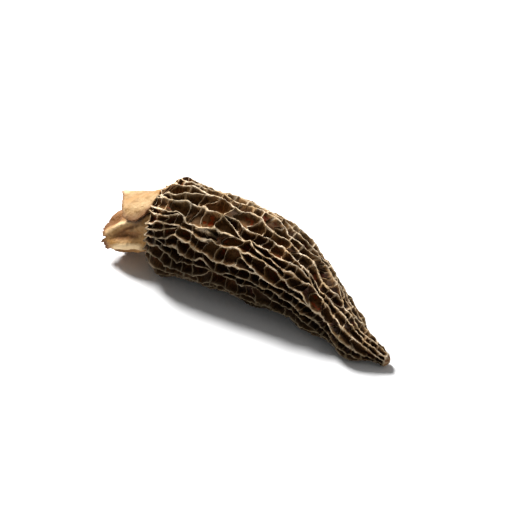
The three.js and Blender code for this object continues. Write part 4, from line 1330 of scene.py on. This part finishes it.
CAMERA_AZIMUTH, CAMERA_ELEVATION = math.radians(37), math.radians(38)
CAMERA_DISTANCE = 417.0
LENS, SENSOR = 150.0, 36.0
AIM = (-1.5, 3.81, 4.84)
CLIP = (0.01, 10) # in metres
# Round soft lights: how far each is to the right of, above and in front of the mushroom as the camera sees
# it, its width, and its power in watts.
LIGHTS = {"key": ((-170, 440, 20), 190, 4.9), "fill": ((260, 160, 330), 400, 0.15)}
LIT_POINT = (0, 0, 6)
SKY = 0.16 # the strength of the white light from all round
FLOOR_HALF = 2000.0
FLOOR_DROP = 0.05 # below what lies on it
FLOOR_SHADE, FLOOR_ROUGHNESS = 0.93, 0.9


def view_axes():
    """The camera's directions to the right, up and back."""
    a, e = CAMERA_AZIMUTH, CAMERA_ELEVATION
    back = Vector((math.sin(a) * math.cos(e), -math.cos(a) * math.cos(e), math.sin(e)))
    right = Vector((math.cos(a), math.sin(a), 0))
    return right, back.cross(right), back


def shine_at(target, light, place):
    """Puts a light at a place in mm, turned to shine at a target."""
    light.location = place * MM
    light.rotation_euler = (place - target).to_track_quat("Z", "Y").to_euler()


def make_camera():
    right, up, back = view_axes()
    data = bpy.data.cameras.new("camera")
    data.lens, data.sensor_width = LENS, SENSOR
    data.clip_start, data.clip_end = CLIP
    camera = bpy.data.objects.new("camera", data)
    bpy.context.scene.collection.objects.link(camera)
    place = (Vector(AIM) + back * CAMERA_DISTANCE) * MM
    camera.matrix_world = Matrix.Translation(place) @ Matrix((right, up, back)).transposed().to_4x4()
    bpy.context.scene.camera = camera


def make_light(name, offset, width, power):
    right, up, back = view_axes()
    data = bpy.data.lights.new(name, "AREA")
    data.shape, data.size = "DISK", width * MM
    data.energy = power
    light = bpy.data.objects.new(name, data)
    bpy.context.scene.collection.objects.link(light)
    shine_at(Vector(LIT_POINT), light, right * offset[0] + up * offset[1] + back * offset[2])


def make_studio():
    world = bpy.data.worlds.new("studio")
    bpy.context.scene.world = world
    world.use_nodes = True
    world.node_tree.nodes["Background"].inputs["Color"].default_value = (1, 1, 1, 1)
    world.node_tree.nodes["Background"].inputs["Strength"].default_value = SKY
    for name, settings in LIGHTS.items():
        make_light(name, *settings)
    outward = [(-1, -1), (1, -1), (1, 1), (-1, 1)]
    corners = np.array([(x * FLOOR_HALF, y * FLOOR_HALF, -FLOOR_DROP) for x, y in outward])
    floor = mesh_object("floor", corners, np.array([[0, 1, 2, 3]]), {})
    material, _, shader = new_material("pale_floor")
    shader.inputs["Base Color"].default_value = (FLOOR_SHADE, FLOOR_SHADE, FLOOR_SHADE, 1)
    shader.inputs["Roughness"].default_value = FLOOR_ROUGHNESS
    floor.data.materials.append(material)
    bpy.context.scene.view_settings.view_transform = "Standard"


def dress(made, node, material):
    made.data.materials.append(material)
    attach(made, "root")
    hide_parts(node)


make_camera()
make_studio()
flesh = dried_flesh_group()
dried_cap = cap_material(flesh)
for part in build_cap():
    dress(part, "cap", dried_cap)
dress(build_stem(), "stem", stem_material(flesh))
